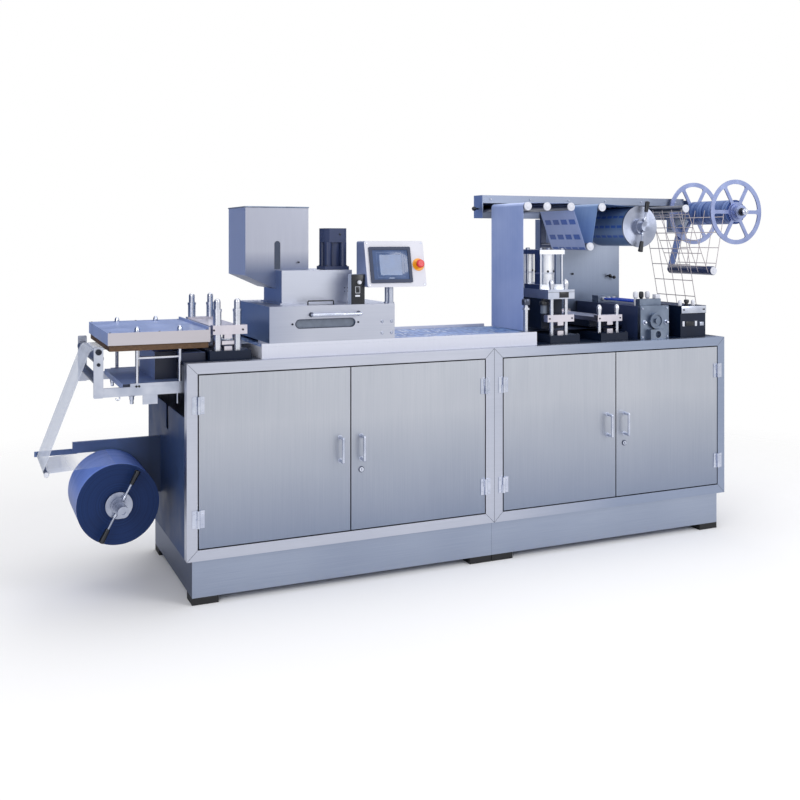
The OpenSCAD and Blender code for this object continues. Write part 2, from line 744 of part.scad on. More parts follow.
// Base box with a round-ended window in front and a shallow tray on top
module feeder_base() color("#b9bdca") machine() {
    window_r = 16;
    window_x = [feeder_x + 122, feeder_x + 336];
    window_z = rail_top + 71;
    window_t = 12;
    tray_x = [feeder_x + 170, feeder_x + 290];
    tray_y = [rail_y[0] + 30, rail_y[0] + 80];
    tray_t = 15;
    difference() {
        block([feeder_x, rail_y[0], rail_top], [feeder_x + feeder_l, rail_y[0] + feeder_d, feeder_top]);
        round_plate(window_x[0] - window_r, window_z - window_r, window_x[1] + window_r, window_z + window_r,
            window_r - 0.01, rail_y[0] - 1, rail_y[0] + window_t);
        block([tray_x[0], tray_y[0], feeder_top - tray_t], [tray_x[1], tray_y[1], feeder_top + 1]);
    }
}

module feeder_handle() color("#c6c8ce") machine() {
    bar_l = 210;
    bar_r = 6;
    reach = 30;
    translate([feeder_x + 268, rail_y[0], rail_top + 106]) rotate([0, 90, 0]) bow(bar_l, bar_r, reach);
}

// Upper box on a thin flange
module feeder_box() color("#aab0c2") machine() {
    rim = 9;
    rim_t = 5;
    block([upper_x, upper_y, feeder_top], [upper_x + upper_l, upper_y + upper_d, upper_top]);
    block([upper_x - rim, upper_y - rim, feeder_top],
        [upper_x + upper_l + rim, upper_y + upper_d + rim, feeder_top + rim_t]);
}

// Open bin with a round-topped sight slot and a sloping chute that runs into the upper box
module hopper() color("#a7aec4") machine() {
    x0 = hopper_x;
    x1 = hopper_x + hopper_l;
    chute_z = upper_top - 20;
    foot_z = upper_top - 76;
    t = hopper_t;
    slot_r = 12.5;
    slot_x = x0 + hopper_l / 2;
    slot_top = upper_top + 118;
    difference() {
        plate_y(hopper_y, hopper_y + hopper_d)
            polygon([[x0, hopper_top], [x0, chute_z], [upper_x, foot_z], [upper_x, upper_top],
                [x1, upper_top], [x1, hopper_top]]);
        plate_y(hopper_y + t, hopper_y + hopper_d - t)
            polygon([[x0 + t, hopper_top + 1], [x0 + t, chute_z + t], [upper_x - t, foot_z + 2 * t],
                [upper_x - t, upper_top + t], [x1 - t, upper_top + t], [x1 - t, hopper_top + 1]]);
        block([slot_x - slot_r, hopper_y - 1, upper_top + t],
            [slot_x + slot_r, hopper_y + t + 1, slot_top - slot_r]);
        rod_y([slot_x, slot_top - slot_r], slot_r, hopper_y - 1, hopper_y + t + 1);
    }
}

// Gear motor: a round core between four corner columns, on a square foot and under an eight-sided cap
module feeder_motor() color("#3b4252") machine()
    translate([motor_c[0], motor_c[1], upper_top]) {
        foot_t = 14;
        foot_half = motor_r + 4;
        body_h = 98;
        cap_h = 58;
        column = motor_r * 0.3;
        corner = motor_r - column - 1;
        cut = motor_r * 0.34;
        m = motor_r;
        translate([-foot_half, -foot_half, 0]) cube([2 * foot_half, 2 * foot_half, foot_t]);
        translate([0, 0, foot_t - 1]) cylinder(r = motor_r * 0.75, h = body_h + 2);
        for (i = [-1, 1])
            for (j = [-1, 1])
                translate([i * corner, j * corner, foot_t - 1]) cylinder(r = column, h = body_h + 2);
        translate([0, 0, foot_t + body_h]) linear_extrude(cap_h)
            polygon([[cut - m, -m], [m - cut, -m], [m, cut - m], [m, m - cut],
                [m - cut, m], [cut - m, m], [-m, m - cut], [-m, cut - m]]);
    }

// Stands on the feeder's base, beside the control panel
module speed_box() color("#3a4150") machine() {
    size = [58, 36, 120];
    x0 = panel_c[0] - panel_w / 2 - 3 - size[0];
    y0 = rail_y[0] + 5;
    block([x0, y0, feeder_top], [x0, y0, feeder_top] + size);
}

// Puts children on the control panel's front face: x along it, z up it, y into it
module on_panel() machine() translate(panel_c) rotate([-panel_tilt, 0, 0]) children();

// Two tubes on round flanges, up to the control panel's underside
module panel_post() color("#b4b9c6") machine()
    for (y = tube_y) translate([tube_x, y, feeder_top]) {
        cylinder(r = tube_r, h = panel_c[2] - panel_rise - feeder_top);
        cylinder(r = tube_r + 3.5, h = 5);
    }

// Console with a level top and underside, an upright back, and a front cut off at a slant
module control_panel() color("#dcdade") difference() {
    big = 2 * panel_w;
    machine() translate(panel_c)
        round_plate(-panel_w / 2, -panel_rise, panel_w / 2, panel_rise, 9, -panel_lean - 1, panel_lean + panel_d);
    on_panel() translate([-big, -big, -big]) cube([2 * big, big, 2 * big]);
}

// Bezel of the touch screen, with the glass set back
module touch_screen() color("#39425a") on_panel() {
    bezel_t = 6;
    edge = 13;
    low = [-114, -78];
    high = [68, 70];
    difference() {
        round_plate(low[0], low[1], high[0], high[1], 5, -bezel_t, 0);
        block([low[0] + edge, -bezel_t - 1, low[1] + edge], [high[0] - edge, -bezel_t / 2, high[1] - edge]);
    }
}

// Mushroom button: stem and turned head
module stop_button() color("#c4242b") on_panel() {
    stem = 16;
    head_r = 17;
    translate([101, 0, -4]) rotate([90, 0, 0])
        rotate_extrude()
            polygon(concat([[0, 0], [9, 0], [9, stem], [head_r - 2, stem], [head_r, stem + 3]],
                [for (a = [0 : 15 : 90]) [head_r - 5, stem + 7] + polar(5, a)],
                [[0, stem + 12]]));
}

// Platen that runs on the four sealing posts
module sealing_platen() color("#c2c7d4") machine() {
    z0 = table_h + platen_top - platen_t;
    difference() {
        block([seal_x, platen_y[0], z0], [seal_x + seal_l, platen_y[1], z0 + platen_t]);
        for (x = seal_xs)
            for (y = seal_y)
                translate([x, y, z0 - 1]) cylinder(r = seal_post_r + run_gap, h = platen_t + 2);
    }
}

// Two air cylinders: round barrels with square feet under one long cap, held by tie rods
module air_cylinders() color("#d3d6de") machine() {
    cap_t = 20;
    half = air_cap / 2;
    tie = half - 10;
    tie_r = 5;
    pitch = 180;
    translate([seal_x + seal_l / 2, (platen_y[0] + platen_y[1]) / 2, table_h + platen_top]) {
        block([-half, -pitch / 2 - half, cap_t + air_l], [half, pitch / 2 + half, 2 * cap_t + air_l]);
        for (y = [-pitch / 2, pitch / 2])
            translate([0, y, 0]) {
                block([-half, -half, 0], [half, half, cap_t]);
                translate([0, 0, cap_t - 1]) cylinder(r = air_r, h = air_l + 2);
                for (i = [-1, 1])
                    for (j = [-1, 1])
                        translate([i * tie, j * tie, cap_t - 1]) cylinder(r = tie_r, h = air_l + cap_t + 9);
            }
    }
}

// Slot that the web runs through
module web_slot(x0, x1) block([x0 - 1, web_y0 - 10, web_z - 8], [x1 + 1, web_y1 + 10, web_z + 10]);

module draw_block() color("#39404f") machine()
    difference() {
        block([draw_x, station_y0 + 10, table_h], [draw_x + draw_l, station_y1, table_h + draw_h]);
        web_slot(draw_x, draw_x + draw_l);
    }

// Gearbox plate with a turned boss and a drilled bearing block, and the two air manifolds on top
module draw_gearbox() color("#9a9fab") machine() {
    mid = draw_x + draw_l / 2;
    c = [mid, table_h + draw_h - 66];
    front = station_y0 - 12;
    boss_r = 36;
    boss_t = 16;
    bearing_half = 42;
    bearing_h = 46;
    manifold_half = 60;
    manifold_h = 32;
    top = table_h + draw_h;
    difference() {
        union() {
            round_plate(draw_x, table_h, draw_x + draw_l, top + 2, 4, front, station_y0 + 10);
            rod_y(c, boss_r, front - boss_t, front + 1);
            block([mid - bearing_half, front - boss_t - 10, table_h],
                [mid + bearing_half, front + 1, table_h + bearing_h]);
        }
        rod_y(c, boss_r - 8, front - boss_t - 1, front - boss_t + 5);
        rod_y([mid, table_h + bearing_h / 2], bearing_h / 3, front - boss_t - 11, front - 2);
    }
    rod_y(c, boss_r / 3, front - boss_t - 6, front - boss_t + 4.8);
    block([mid - manifold_half, manifold_y[0], top],
        [mid + manifold_half, manifold_y[0] + manifold_t, top + manifold_h]);
    block([mid - manifold_half, manifold_y[1], top],
        [mid + manifold_half, manifold_y[1] + manifold_back_t, top + manifold_h]);
}

module air_tubes() color("#2f57c4") machine() {
    pitch = 30;
    tube = 5;
    rise = 17;
    for (i = [-1 : 1])
        rod_y([draw_x + draw_l / 2 + pitch * i, table_h + draw_h + rise], tube,
            manifold_y[0] + manifold_t, manifold_y[1]);
}

// Punch with a proud head plate, a slot for the web, and two lugs for the waste roller
module punch_block() color("#23262e") machine() {
    top = table_h + punch_h;
    head_h = 36;
    head_out = 5;
    lug_t = 10;
    lug_half = 10;
    x1 = punch_x + punch_l;
    difference() {
        union() {
            block([punch_x, station_y0, table_h], [x1, station_y1, top]);
            block([punch_x, station_y0 - head_out, top - head_h], [x1, station_y0 + 1, top]);
        }
        web_slot(punch_x, x1);
    }
    for (y = [web_y0 - 24, web_y1 + 14])
        block([x1 - 1, y, waste_c[1] - lug_half], [waste_c[0] + 12, y + lug_t, waste_c[1] + lug_half]);
}

// Sheet pillar behind the stations, in two lengths that meet at a seam
module back_column() color("#aeb4c3") machine() {
    seam = 1.5;
    back = cabinet_d - 30;
    block([pillar_x[0], pillar_y, table_h], [pillar_x[1], back, pillar_seam]);
    block([pillar_x[0] + seam, pillar_y + seam, pillar_seam - 1],
        [pillar_x[1] - seam, back - seam, pillar_seam + seam + 1]);
    block([pillar_x[0], pillar_y, pillar_seam + seam], [pillar_x[1], back, beam_z]);
}

// Folded beam: back plate, top and front lip with a closed end, and an arm for the waste reel's spindle
module foil_beam() color("#8b95ad") machine() {
    x1 = beam_x + beam_l;
    inner = beam_back - beam_t;
    lip = 38;
    arm = 6;
    arm_edge = 22;
    nose = 60;
    block([beam_x, inner, beam_z], [x1, beam_back, beam_top]);
    block([beam_x, beam_y, beam_top - beam_t], [x1, beam_back, beam_top]);
    block([beam_x, beam_y, beam_top - lip], [x1, beam_y + beam_t, beam_top]);
    block([beam_x, beam_y, beam_z], [beam_x + beam_t, beam_back, beam_top]);
    block([dancer_pivot[0] - arm_edge, inner - arm, dancer_pivot[1] - arm_edge],
        [reel_c[0] + 40, inner, beam_top - beam_t]);
    rod_y(reel_c, spindle_r, reel_y[0] - nose, inner);
    rod_y(reel_c, spindle_r * 2, reel_y[1] + disc_t + 4, inner);
    rod_y(dancer_pivot, pivot_r, dancer_y + dancer_t, inner);
}

// Rollers on the beam with their end discs, the hanger of the low one, the foil spindle and the waste roller
module guide_rollers() color("#c8ccd6") machine() {
    disc = 6;
    inner = beam_back - beam_t;
    hang_t = 10;
    hang_half = 15;
    nose = 40;
    for (x = guide_x) guide_roller([x, roller_z], inner);
    guide_roller(low_c, inner - hang_t - part_gap);
    block([low_c[0] - hang_half, inner - hang_t, low_c[1] - guide_r - disc],
        [low_c[0] + hang_half, inner, beam_z + 30]);
    rod_y(foil_c, spindle_r, roll_end - nose, pillar_y);
    rod_y(foil_c, spindle_r * 2, web_y1 + 6, pillar_y);
    rod_y(waste_c, waste_roller_r, web_y0 - 14, web_y1 + 14);
}
module guide_roller(c, back) {
    rod_y(c, guide_r, roll_end, back);
    rod_y(c, guide_r + 2, roll_end - 6, roll_end);
    rod_y(c, guide_r / 2, roll_end - 8, roll_end - 5);
}

foil_off = guide_r + web_off;
foil_path = [[foil_c, foil_roll_r + web_off, 1], [[guide_x[3], roller_z], foil_off, 1], [low_c, foil_off, -1],
    [[guide_x[2], roller_z], foil_off, 1], [[guide_x[0], roller_z], foil_off, 1],
    [[guide_x[0] - foil_off, web_z + web_t + 1], 0, 1]];
waste_roller_r = 12;
waste_c = [punch_x + punch_l + 70, web_z + waste_roller_r + web_off];
waste_path = [[[punch_x + punch_l - 60, web_z], 0, 1], [waste_c, waste_roller_r + web_off, 1],
    [[guide_x[4], roller_z], foil_off, -1], [dancer_c, dancer_r + web_off, 1],
    [reel_c, waste_r + web_off, -1]];

// Direction of each straight stretch of a path of [centre, radius, side]
function path_dirs(p) = [for (i = [0 : len(p) - 2])
    run_dir(p[i][0], p[i][1], p[i][2], p[i + 1][0], p[i + 1][1], p[i + 1][2])];
// Turn between two directions, taken the short way
function turn(a, b) = let (d = b - a) d > 180 ? d - 360 : d < -180 ? d + 360 : d;

module foil_web() color("#8c9dcb") machine() {
    dirs = path_dirs(foil_path);
    for (i = [0 : len(dirs) - 1]) {
        a = foil_path[i];
        b = foil_path[i + 1];
        web_leg(touch(a[0], a[1], a[2], dirs[i]), touch(b[0], b[1], b[2], dirs[i]), web_y0, web_y1);
    }
    for (i = [1 : len(dirs) - 1]) {
        c = foil_path[i];
        to = dirs[i - 1] + turn(dirs[i - 1], dirs[i]);
        web_bend(c[0], c[1], c[2], dirs[i - 1], to, web_y0, web_y1);
    }
}

module waste_web() color("#9b9aa6") machine() {
    dirs = path_dirs(waste_path);
    for (i = [0 : len(dirs) - 1]) {
        a = waste_path[i];
        b = waste_path[i + 1];
        lattice_leg(touch(a[0], a[1], a[2], dirs[i]), touch(b[0], b[1], b[2], dirs[i]));
    }
}

module foil_roll() color("#7f93c8") machine()
    difference() {
        rod_y(foil_c, foil_roll_r, web_y0, web_y1);
        rod_y(foil_c, spindle_r + run_gap, web_y0 - 1, web_y1 + 1);
    }

// White disc that holds the foil roll, with its stepped hub and two levers with grips
module foil_flange() color("#e4e6ee") machine() {
    disc = 8;
    lever_l = 75;
    grip_l = 42;
    hub = [38, 24];
    boss = 45;
    difference() {
        union() {
            rod_y(foil_c, foil_flange_r, web_y0 - disc, web_y0);
            rod_y(foil_c, hub[0], web_y0 - 30, web_y0 - disc + 1);
            rod_y(foil_c, hub[1], roll_end - boss, web_y0 - 29);
            for (a = [80, 260])
                translate([foil_c[0], roll_end - 30, foil_c[1]]) rotate([0, 90 - a, 0]) {
                    cylinder(r = 5, h = lever_l);
                    translate([0, 0, lever_l - 1]) cylinder(r1 = grip_r * 0.75, r2 = grip_r, h = grip_l);
                }
        }
        rod_y(foil_c, spindle_r + run_gap, roll_end - boss + 4, web_y0 + 1);
    }
}

// Outline of one window between two spokes: six arcs, with every corner rounded
module reel_window() {
    f = 9;
    h = spoke_w / 2 + f;
    outer = reel_r - rim_w;
    a = asin(h / (outer - f));
    b = asin(h / (hub_r + f));
    polygon(concat(
        arc(polar(outer - f, a), f, -90, a),
        arc([0, 0], outer, a, 60 - a),
        arc(polar(outer - f, 60 - a), f, 60 - a, 150),
        arc(polar(hub_r + f, 60 - b), f, 150, 240 - b),
        arc([0, 0], hub_r, 60 - b, b),
        arc(polar(hub_r + f, b), f, 180 + b, 270)));
}

// Spoked disc of the waste reel
module reel_disc(y)
    difference() {
        rod_y(reel_c, reel_r, y, y + disc_t);
        rod_y(reel_c, spindle_r + run_gap, y - 1, y + disc_t + 1);
        for (a = [0 : 60 : 300])
            plate_y(y - 1, y + disc_t + 1) translate(reel_c) rotate(a) reel_window();
    }

// Two spoked discs, and the stepped hub in front of them
module waste_reel() color("#b7bccd") machine() {
    hub = [44, 34];
    step = 12;
    for (y = reel_y) reel_disc(y);
    difference() {
        union() {
            rod_y(reel_c, hub[0], reel_y[0] - step, reel_y[0] + 1);
            rod_y(reel_c, hub[1], reel_y[0] - 3 * step, reel_y[0] + 1);
        }
        rod_y(reel_c, spindle_r + run_gap, reel_y[0] - 3 * step - 1, reel_y[0] + 2);
    }
}

module waste_coil() color("#3a5196") machine()
    difference() {
        rod_y(reel_c, waste_r, reel_y[0] + disc_t, reel_y[1]);
        rod_y(reel_c, spindle_r + run_gap, reel_y[0], reel_y[1] + 1);
    }

module dancer_arm() color("#8e97ae") machine()
    difference() {
        plate_y(dancer_y, dancer_y + dancer_t) hull() {
            translate(dancer_pivot) circle(r = 18);
            translate(dancer_c) circle(r = 16);
        }
        rod_y(dancer_pivot, pivot_r + run_gap, dancer_y - 1, dancer_y + dancer_t + 1);
    }

// Roller with a narrower end disc
module dancer_roller() color("#2b3a66") machine() {
    rod_y(dancer_c, dancer_r, web_y0 - 10, dancer_y);
    rod_y(dancer_c, dancer_r - 3, web_y0 - 14, web_y0 - 9);
}

front_frames();
cabinet_panels();
left_end_panel();
plinth();
feet();
table_top();
frame_hinges();
door(1);  // door_1
door(2);  // door_2
door(3);  // door_3
door(4);  // door_4
door_fittings(1);  // door_fittings_1
door_fittings(2);  // door_fittings_2
door_fittings(3);  // door_fittings_3
door_fittings(4);  // door_fittings_4
roll_arm();
film_roll();
roll_clamp();
film_web();
infeed_rollers();
infeed_brackets();
heater_plate();
heater_board();
heater_block();
guide_posts();
cross_plates();
station_bases();
guide_rail();
blister_web();
feeder_base();
feeder_handle();
feeder_box();
hopper();
feeder_motor();
speed_box();
panel_post();
control_panel();
touch_screen();
stop_button();
sealing_platen();
air_cylinders();
draw_block();
draw_gearbox();
air_tubes();
punch_block();
back_column();
foil_beam();
guide_rollers();
foil_web();
foil_roll();
foil_flange();
waste_reel();
waste_coil();
dancer_arm();
dancer_roller();
waste_web();
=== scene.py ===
import math
import bmesh
import bpy
from mathutils import Matrix, Vector


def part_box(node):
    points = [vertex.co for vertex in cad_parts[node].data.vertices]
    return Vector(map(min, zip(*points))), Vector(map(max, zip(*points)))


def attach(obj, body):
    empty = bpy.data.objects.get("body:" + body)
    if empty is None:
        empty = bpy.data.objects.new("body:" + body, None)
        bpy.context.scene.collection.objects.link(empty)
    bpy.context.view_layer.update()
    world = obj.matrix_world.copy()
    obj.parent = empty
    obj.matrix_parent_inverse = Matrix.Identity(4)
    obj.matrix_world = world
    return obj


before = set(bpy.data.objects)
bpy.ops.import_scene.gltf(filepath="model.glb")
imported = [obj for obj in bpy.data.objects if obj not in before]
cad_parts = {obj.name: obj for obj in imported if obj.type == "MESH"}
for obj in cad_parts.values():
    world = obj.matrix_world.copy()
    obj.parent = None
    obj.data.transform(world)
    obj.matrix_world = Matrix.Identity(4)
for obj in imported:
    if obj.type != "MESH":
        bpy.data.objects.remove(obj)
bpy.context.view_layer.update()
print("frame loaded:", len(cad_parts), "nodes")

mm = 0.001
faceLimit = 0.7  # part of a normal past which a face looks along an axis


# sRGB hex to linear, made lighter or darker by an amount
def toLinear(hexColour, amount=1.0):
    parts = [int(hexColour[i:i + 2], 16) / 255 for i in (1, 3, 5)]
    linear = [c / 12.92 if c <= 0.04045 else ((c + 0.055) / 1.055) ** 2.4 for c in parts]
    return tuple(min(1.0, c * amount) for c in linear) + (1.0,)


# scale of a pattern from its size in mm
def perMm(size):
    return 1 / (size * mm)


# adds one node and gives its outputs: plain settings by keyword, colours along a ramp as stops, sockets by name or
# number; a socket given as a value makes a link
def addNode(tree, kind, sockets=None, stops=(), **settings):
    node = tree.nodes.new("ShaderNode" + kind)
    for key, value in settings.items():
        setattr(node, key, value)
    for key, value in (sockets or {}).items():
        if isinstance(value, bpy.types.NodeSocket):
            tree.links.new(value, node.inputs[key])
        else:
            node.inputs[key].default_value = value
    if stops:
        elements = node.color_ramp.elements
        while len(elements) < len(stops):
            elements.new(0.5)
        for element, (position, colour) in zip(elements, stops):
            element.position = position
            element.color = colour
    return node.outputs


# new material with an empty tree, and the object's own place in metres
def startMaterial(name):
    material = bpy.data.materials.new(name)
    material.use_nodes = True
    tree = material.node_tree
    tree.nodes.clear()
    return material, tree, addNode(tree, "TexCoord")["Object"]


# one principled surface closes a material; a bump is its height, strength and distance in metres
def closeMaterial(material, sockets, bump=None):
    tree = material.node_tree
    if bump:
        relief = dict(zip(("Height", "Strength", "Distance"), bump))
        sockets["Normal"] = addNode(tree, "Bump", relief)[0]
    addNode(tree, "OutputMaterial", {0: addNode(tree, "BsdfPrincipled", sockets)[0]})
    return material


# place stretched by the sizes of a pattern in mm
def stretch(tree, place, sizes):
    return addNode(tree, "Mapping", {"Vector": place, "Scale": [perMm(size) for size in sizes]})[0]


# the way a surface faces, as X, Y and Z
def facing(tree):
    return addNode(tree, "SeparateXYZ", {0: addNode(tree, "NewGeometry")["Normal"]})


# colour between two tones by a noise, which lies mostly between 0.3 and 0.7
def twoTone(tree, noise, dark, light, low=0.3, high=0.7):
    return addNode(tree, "ValToRGB", {"Fac": noise}, [(low, dark), (high, light)])[0]


# roughness that varies with the same kind of noise
def unevenGloss(tree, noise, low, high):
    return addNode(tree, "MapRange", {"Value": noise, 1: 0.3, 2: 0.7, 3: low, 4: high})[0]


# painted reflection and shade: dark surroundings painted into a surface, so that between two places along an axis its
# colour turns to a deeper tone, with a second axis only past a place along that one
def paintedShadeTone(tree, place, colour, fade):
    if not fade:
        return colour
    axis, plainAt, deepAt, paintedShadeColour, *only = fade
    where = addNode(tree, "SeparateXYZ", {0: place})
    ends = {1: plainAt, 2: deepAt} if deepAt > plainAt else {1: deepAt, 2: plainAt, 3: 1.0, 4: 0.0}
    paintedDarkening = addNode(tree, "MapRange", {"Value": where[axis], **ends})[0]
    if only:
        isPast = addNode(tree, "Math", {0: where[only[0]], 1: only[1]}, operation="GREATER_THAN")[0]
        paintedDarkening = addNode(tree, "Math", {0: paintedDarkening, 1: isPast}, operation="MULTIPLY")[0]
    return addNode(tree, "Mix", {0: paintedDarkening, 6: colour, 7: toLinear(paintedShadeColour)},
                   data_type="RGBA", blend_type="MULTIPLY")[2]


# faces that look along minus X or minus Y take their own colour
def faceTone(tree, colour, axis, hexColour):
    if not hexColour:
        return colour
    isFace = addNode(tree, "Math", {0: facing(tree)[axis], 1: -faceLimit}, operation="LESS_THAN")[0]
    return addNode(tree, "Mix", {0: isFace, 6: colour, 7: toLinear(hexColour)}, data_type="RGBA")[2]


# Brushed stainless sheet, grained on a belt: fine parallel scratches give streaks of light and dark along the grain
steelLook = {"grainMm": 1.6, "streakMm": 240, "cloudMm": 420}


def brushedStainless(name, light, dark, grainAxis, roughness=0.36, fade=None, left=None):
    material, tree, place = startMaterial(name)
    sizes = [steelLook["grainMm"]] * 3  # drawn coarser than real grit so that it shows
    sizes[grainAxis] = steelLook["streakMm"]
    along = stretch(tree, place, sizes)
    grain = addNode(tree, "TexNoise", {"Vector": along, "Scale": 1.0, "Detail": 4.0, "Roughness": 0.65})[0]
    cloud = addNode(tree, "TexNoise", {"Vector": place, "Scale": perMm(steelLook["cloudMm"]), "Detail": 2.0})[0]
    both = addNode(tree, "Mix", {0: 0.35, 2: grain, 3: cloud}, data_type="FLOAT")[0]
    # painted reflection and shade: fade deepens the tone along one axis, and left gives the faces that look along minus
    # X a painted colour of their own, lighter or darker
    tone = paintedShadeTone(tree, place, twoTone(tree, both, toLinear(dark), toLinear(light)), fade)
    return closeMaterial(material, {
        "Base Color": faceTone(tree, tone, "X", left), "Metallic": 1.0,
        "Roughness": unevenGloss(tree, grain, roughness - 0.06, roughness + 0.08)}, (grain, 0.06, 0.0004))


# Satin stove enamel, sprayed: a faint orange-peel skin and slightly uneven gloss
enamelLook = {"peelMm": 3.0, "patchMm": 111.11}


def sprayedEnamel(name, colour, roughness=0.4, front=None, fade=None, ior=1.5):
    material, tree, place = startMaterial(name)
    peel = addNode(tree, "TexNoise", {"Vector": place, "Scale": perMm(enamelLook["peelMm"]), "Detail": 2.0})[0]
    patch = addNode(tree, "TexNoise",
                    {"Vector": place, "Scale": perMm(enamelLook["patchMm"]), "Detail": 3.0})[0]
    tone = faceTone(tree, twoTone(tree, patch, toLinear(colour, 0.86), toLinear(colour, 1.1)), "Y", front)
    # painted shade: fade deepens the tone along one axis
    return closeMaterial(material, {
        "Base Color": paintedShadeTone(tree, place, tone, fade), "IOR": ior,
        "Roughness": unevenGloss(tree, patch, roughness - 0.06, roughness + 0.08)}, (peel, 0.08, 0.0005))


# Machined metal: turned or milled, with fine tool marks and a bright, slightly soft reflection
metalLook = {"hazeMm": 62.5, "paintedReflectionTurn": (0.35, 0.85)}


def machinedMetal(name, light, dark, roughness, markMm=2.2, turned=0.0, edge=None):
    material, tree, place = startMaterial(name)
    marks = addNode(tree, "TexNoise",
                    {"Vector": place, "Scale": perMm(markMm), "Detail": 5.0, "Roughness": 0.7})[0]
    haze = addNode(tree, "TexNoise", {"Vector": place, "Scale": perMm(metalLook["hazeMm"]), "Detail": 2.0})[0]
    tone = twoTone(tree, haze, toLinear(dark), toLinear(light))
    if edge:
        # painted reflection: dark sides of the room painted into the colour where a round body turns away to the left
        # and right
        aside = addNode(tree, "Math", {0: facing(tree)["X"]}, operation="ABSOLUTE")[0]
        plainAt, deepAt = metalLook["paintedReflectionTurn"]
        paintedDarkening = addNode(tree, "MapRange", {"Value": aside, 1: plainAt, 2: deepAt})[0]
        tone = addNode(tree, "Mix", {0: paintedDarkening, 6: tone, 7: toLinear(edge)}, data_type="RGBA")[2]
    sockets = {"Base Color": tone, "Metallic": 1.0,
               "Roughness": unevenGloss(tree, marks, roughness - 0.05, roughness + 0.07)}
    if turned:
        # rings left by the lathe spread the light into a bow tie
        sockets["Anisotropic"] = turned
        sockets["Tangent"] = addNode(tree, "Tangent", direction_type="RADIAL", axis="Y")[0]
    return closeMaterial(material, sockets, (marks, 0.04, 0.0003))


# Moulded plastic: a fine spark-eroded grain and an even soft gloss
plasticLook = {"grainMm": 1.2, "patchMm": 45.45}


def mouldedPlastic(name, colour, roughness):
    material, tree, place = startMaterial(name)
    grain = addNode(tree, "TexNoise",
                    {"Vector": place, "Scale": perMm(plasticLook["grainMm"]), "Detail": 2.0})[0]
    patch = addNode(tree, "TexNoise",
                    {"Vector": place, "Scale": perMm(plasticLook["patchMm"]), "Detail": 2.0})[0]
    return closeMaterial(material, {
        "Base Color": twoTone(tree, patch, toLinear(colour, 0.9), toLinear(colour)), "IOR": 1.49,
        "Roughness": unevenGloss(tree, grain, roughness - 0.05, roughness + 0.05)}, (grain, 0.1, 0.0003))


# Rigid PVC film wound on a roll: dark and layered on its ends, glossy with faint bands on its side, and painted shade
# where the side turns down
# under: painted shade multiplied into the side where it turns down
filmRollLook = {"end": "#13264e", "endLight": "#1b3364", "side": "#6284d8", "sideLight": "#88a4f0", "under": "#9aa6b6",
                "layerMm": 5.0, "bandMm": 16.667}
wasteCoilLook = {"end": "#22386e", "endLight": "#3a5595", "side": "#2f4a88", "sideLight": "#7d97cf", "under": "#d8dce4",
                 "layerMm": 4.0, "bandMm": 16.667}


def woundFilm(name, look, centre):
    material, tree, place = startMaterial(name)
    shifted = addNode(tree, "VectorMath", {0: place, 1: centre}, operation="SUBTRACT")[0]
    flat = addNode(tree, "VectorMath", {0: shifted, 1: (1, 0, 1)}, operation="MULTIPLY")[0]
    radius = addNode(tree, "VectorMath", {0: flat}, operation="LENGTH")["Value"]
    across = addNode(tree, "SeparateXYZ", {0: place})["Y"]
    layers = addNode(tree, "TexNoise", {"W": radius, "Scale": perMm(look["layerMm"]), "Detail": 4.0, "Roughness": 0.8},
                     noise_dimensions="1D")[0]
    bands = addNode(tree, "TexNoise", {"W": across, "Scale": perMm(look["bandMm"]), "Detail": 3.0},
                    noise_dimensions="1D")[0]
    endTone = twoTone(tree, layers, toLinear(look["end"]), toLinear(look["endLight"]), 0.35)
    sideTone = twoTone(tree, bands, toLinear(look["side"]), toLinear(look["sideLight"]), 0.35)
    ways = facing(tree)
    aside = addNode(tree, "Math", {0: ways["Y"]}, operation="ABSOLUTE")[0]
    isEnd = addNode(tree, "Math", {0: aside, 1: faceLimit}, operation="GREATER_THAN")[0]
    # painted shade: the side is deeper in tone where it turns down
    under = addNode(tree, "MapRange", {"Value": ways["Z"], 1: -0.1, 2: 0.8, 3: 1.0, 4: 0.0})[0]
    side = addNode(tree, "Mix", {0: under, 6: sideTone, 7: toLinear(look["under"])},
                   data_type="RGBA", blend_type="MULTIPLY")[2]
    tone = addNode(tree, "Mix", {0: isEnd, 6: side, 7: endTone}, data_type="RGBA")[2]
    relief = addNode(tree, "Mix", {0: isEnd, 2: bands, 3: layers}, data_type="FLOAT")[0]
    return closeMaterial(material, {
        "Base Color": tone, "Roughness": 0.42, "IOR": 1.25}, (relief, 0.25, 0.0012))


# Clear PVC film under tension: milky lavender, half see-through, with long soft waves in its gloss
filmLook = {"waveMm": (333.3, 38.46, 333.3), "clearAlpha": 0.08}


def clearFilm(name, colour, alpha, over=None):
    material, tree, place = startMaterial(name)
    along = stretch(tree, place, filmLook["waveMm"])
    waves = addNode(tree, "TexNoise", {"Vector": along, "Scale": 1.0, "Detail": 2.0})[0]
    if over:
        # close over the roll the film lets the roll's own blue through
        milkyAt, clearAt, below = over
        where = addNode(tree, "SeparateXYZ", {0: place})
        milk = addNode(tree, "MapRange", {"Value": where["X"], 1: milkyAt, 2: clearAt, 3: alpha,
                                          4: filmLook["clearAlpha"]})[0]
        isHigh = addNode(tree, "Math", {0: where["Z"], 1: below}, operation="GREATER_THAN")[0]
        alpha = addNode(tree, "Mix", {0: isHigh, 2: milk, 3: alpha}, data_type="FLOAT")[0]
    return closeMaterial(material, {
        "Base Color": twoTone(tree, waves, toLinear(colour, 0.9), toLinear(colour), 0.35, 0.65),
        "Roughness": 0.26, "IOR": 1.4, "Alpha": alpha}, (waves, 0.2, 0.004))


# Hard lidding foil: rolled aluminium with a tinted lacquer, satin, with lengthwise rolling lines
foilLook = {"lineMm": (500, 4, 500), "softMm": 166.7}


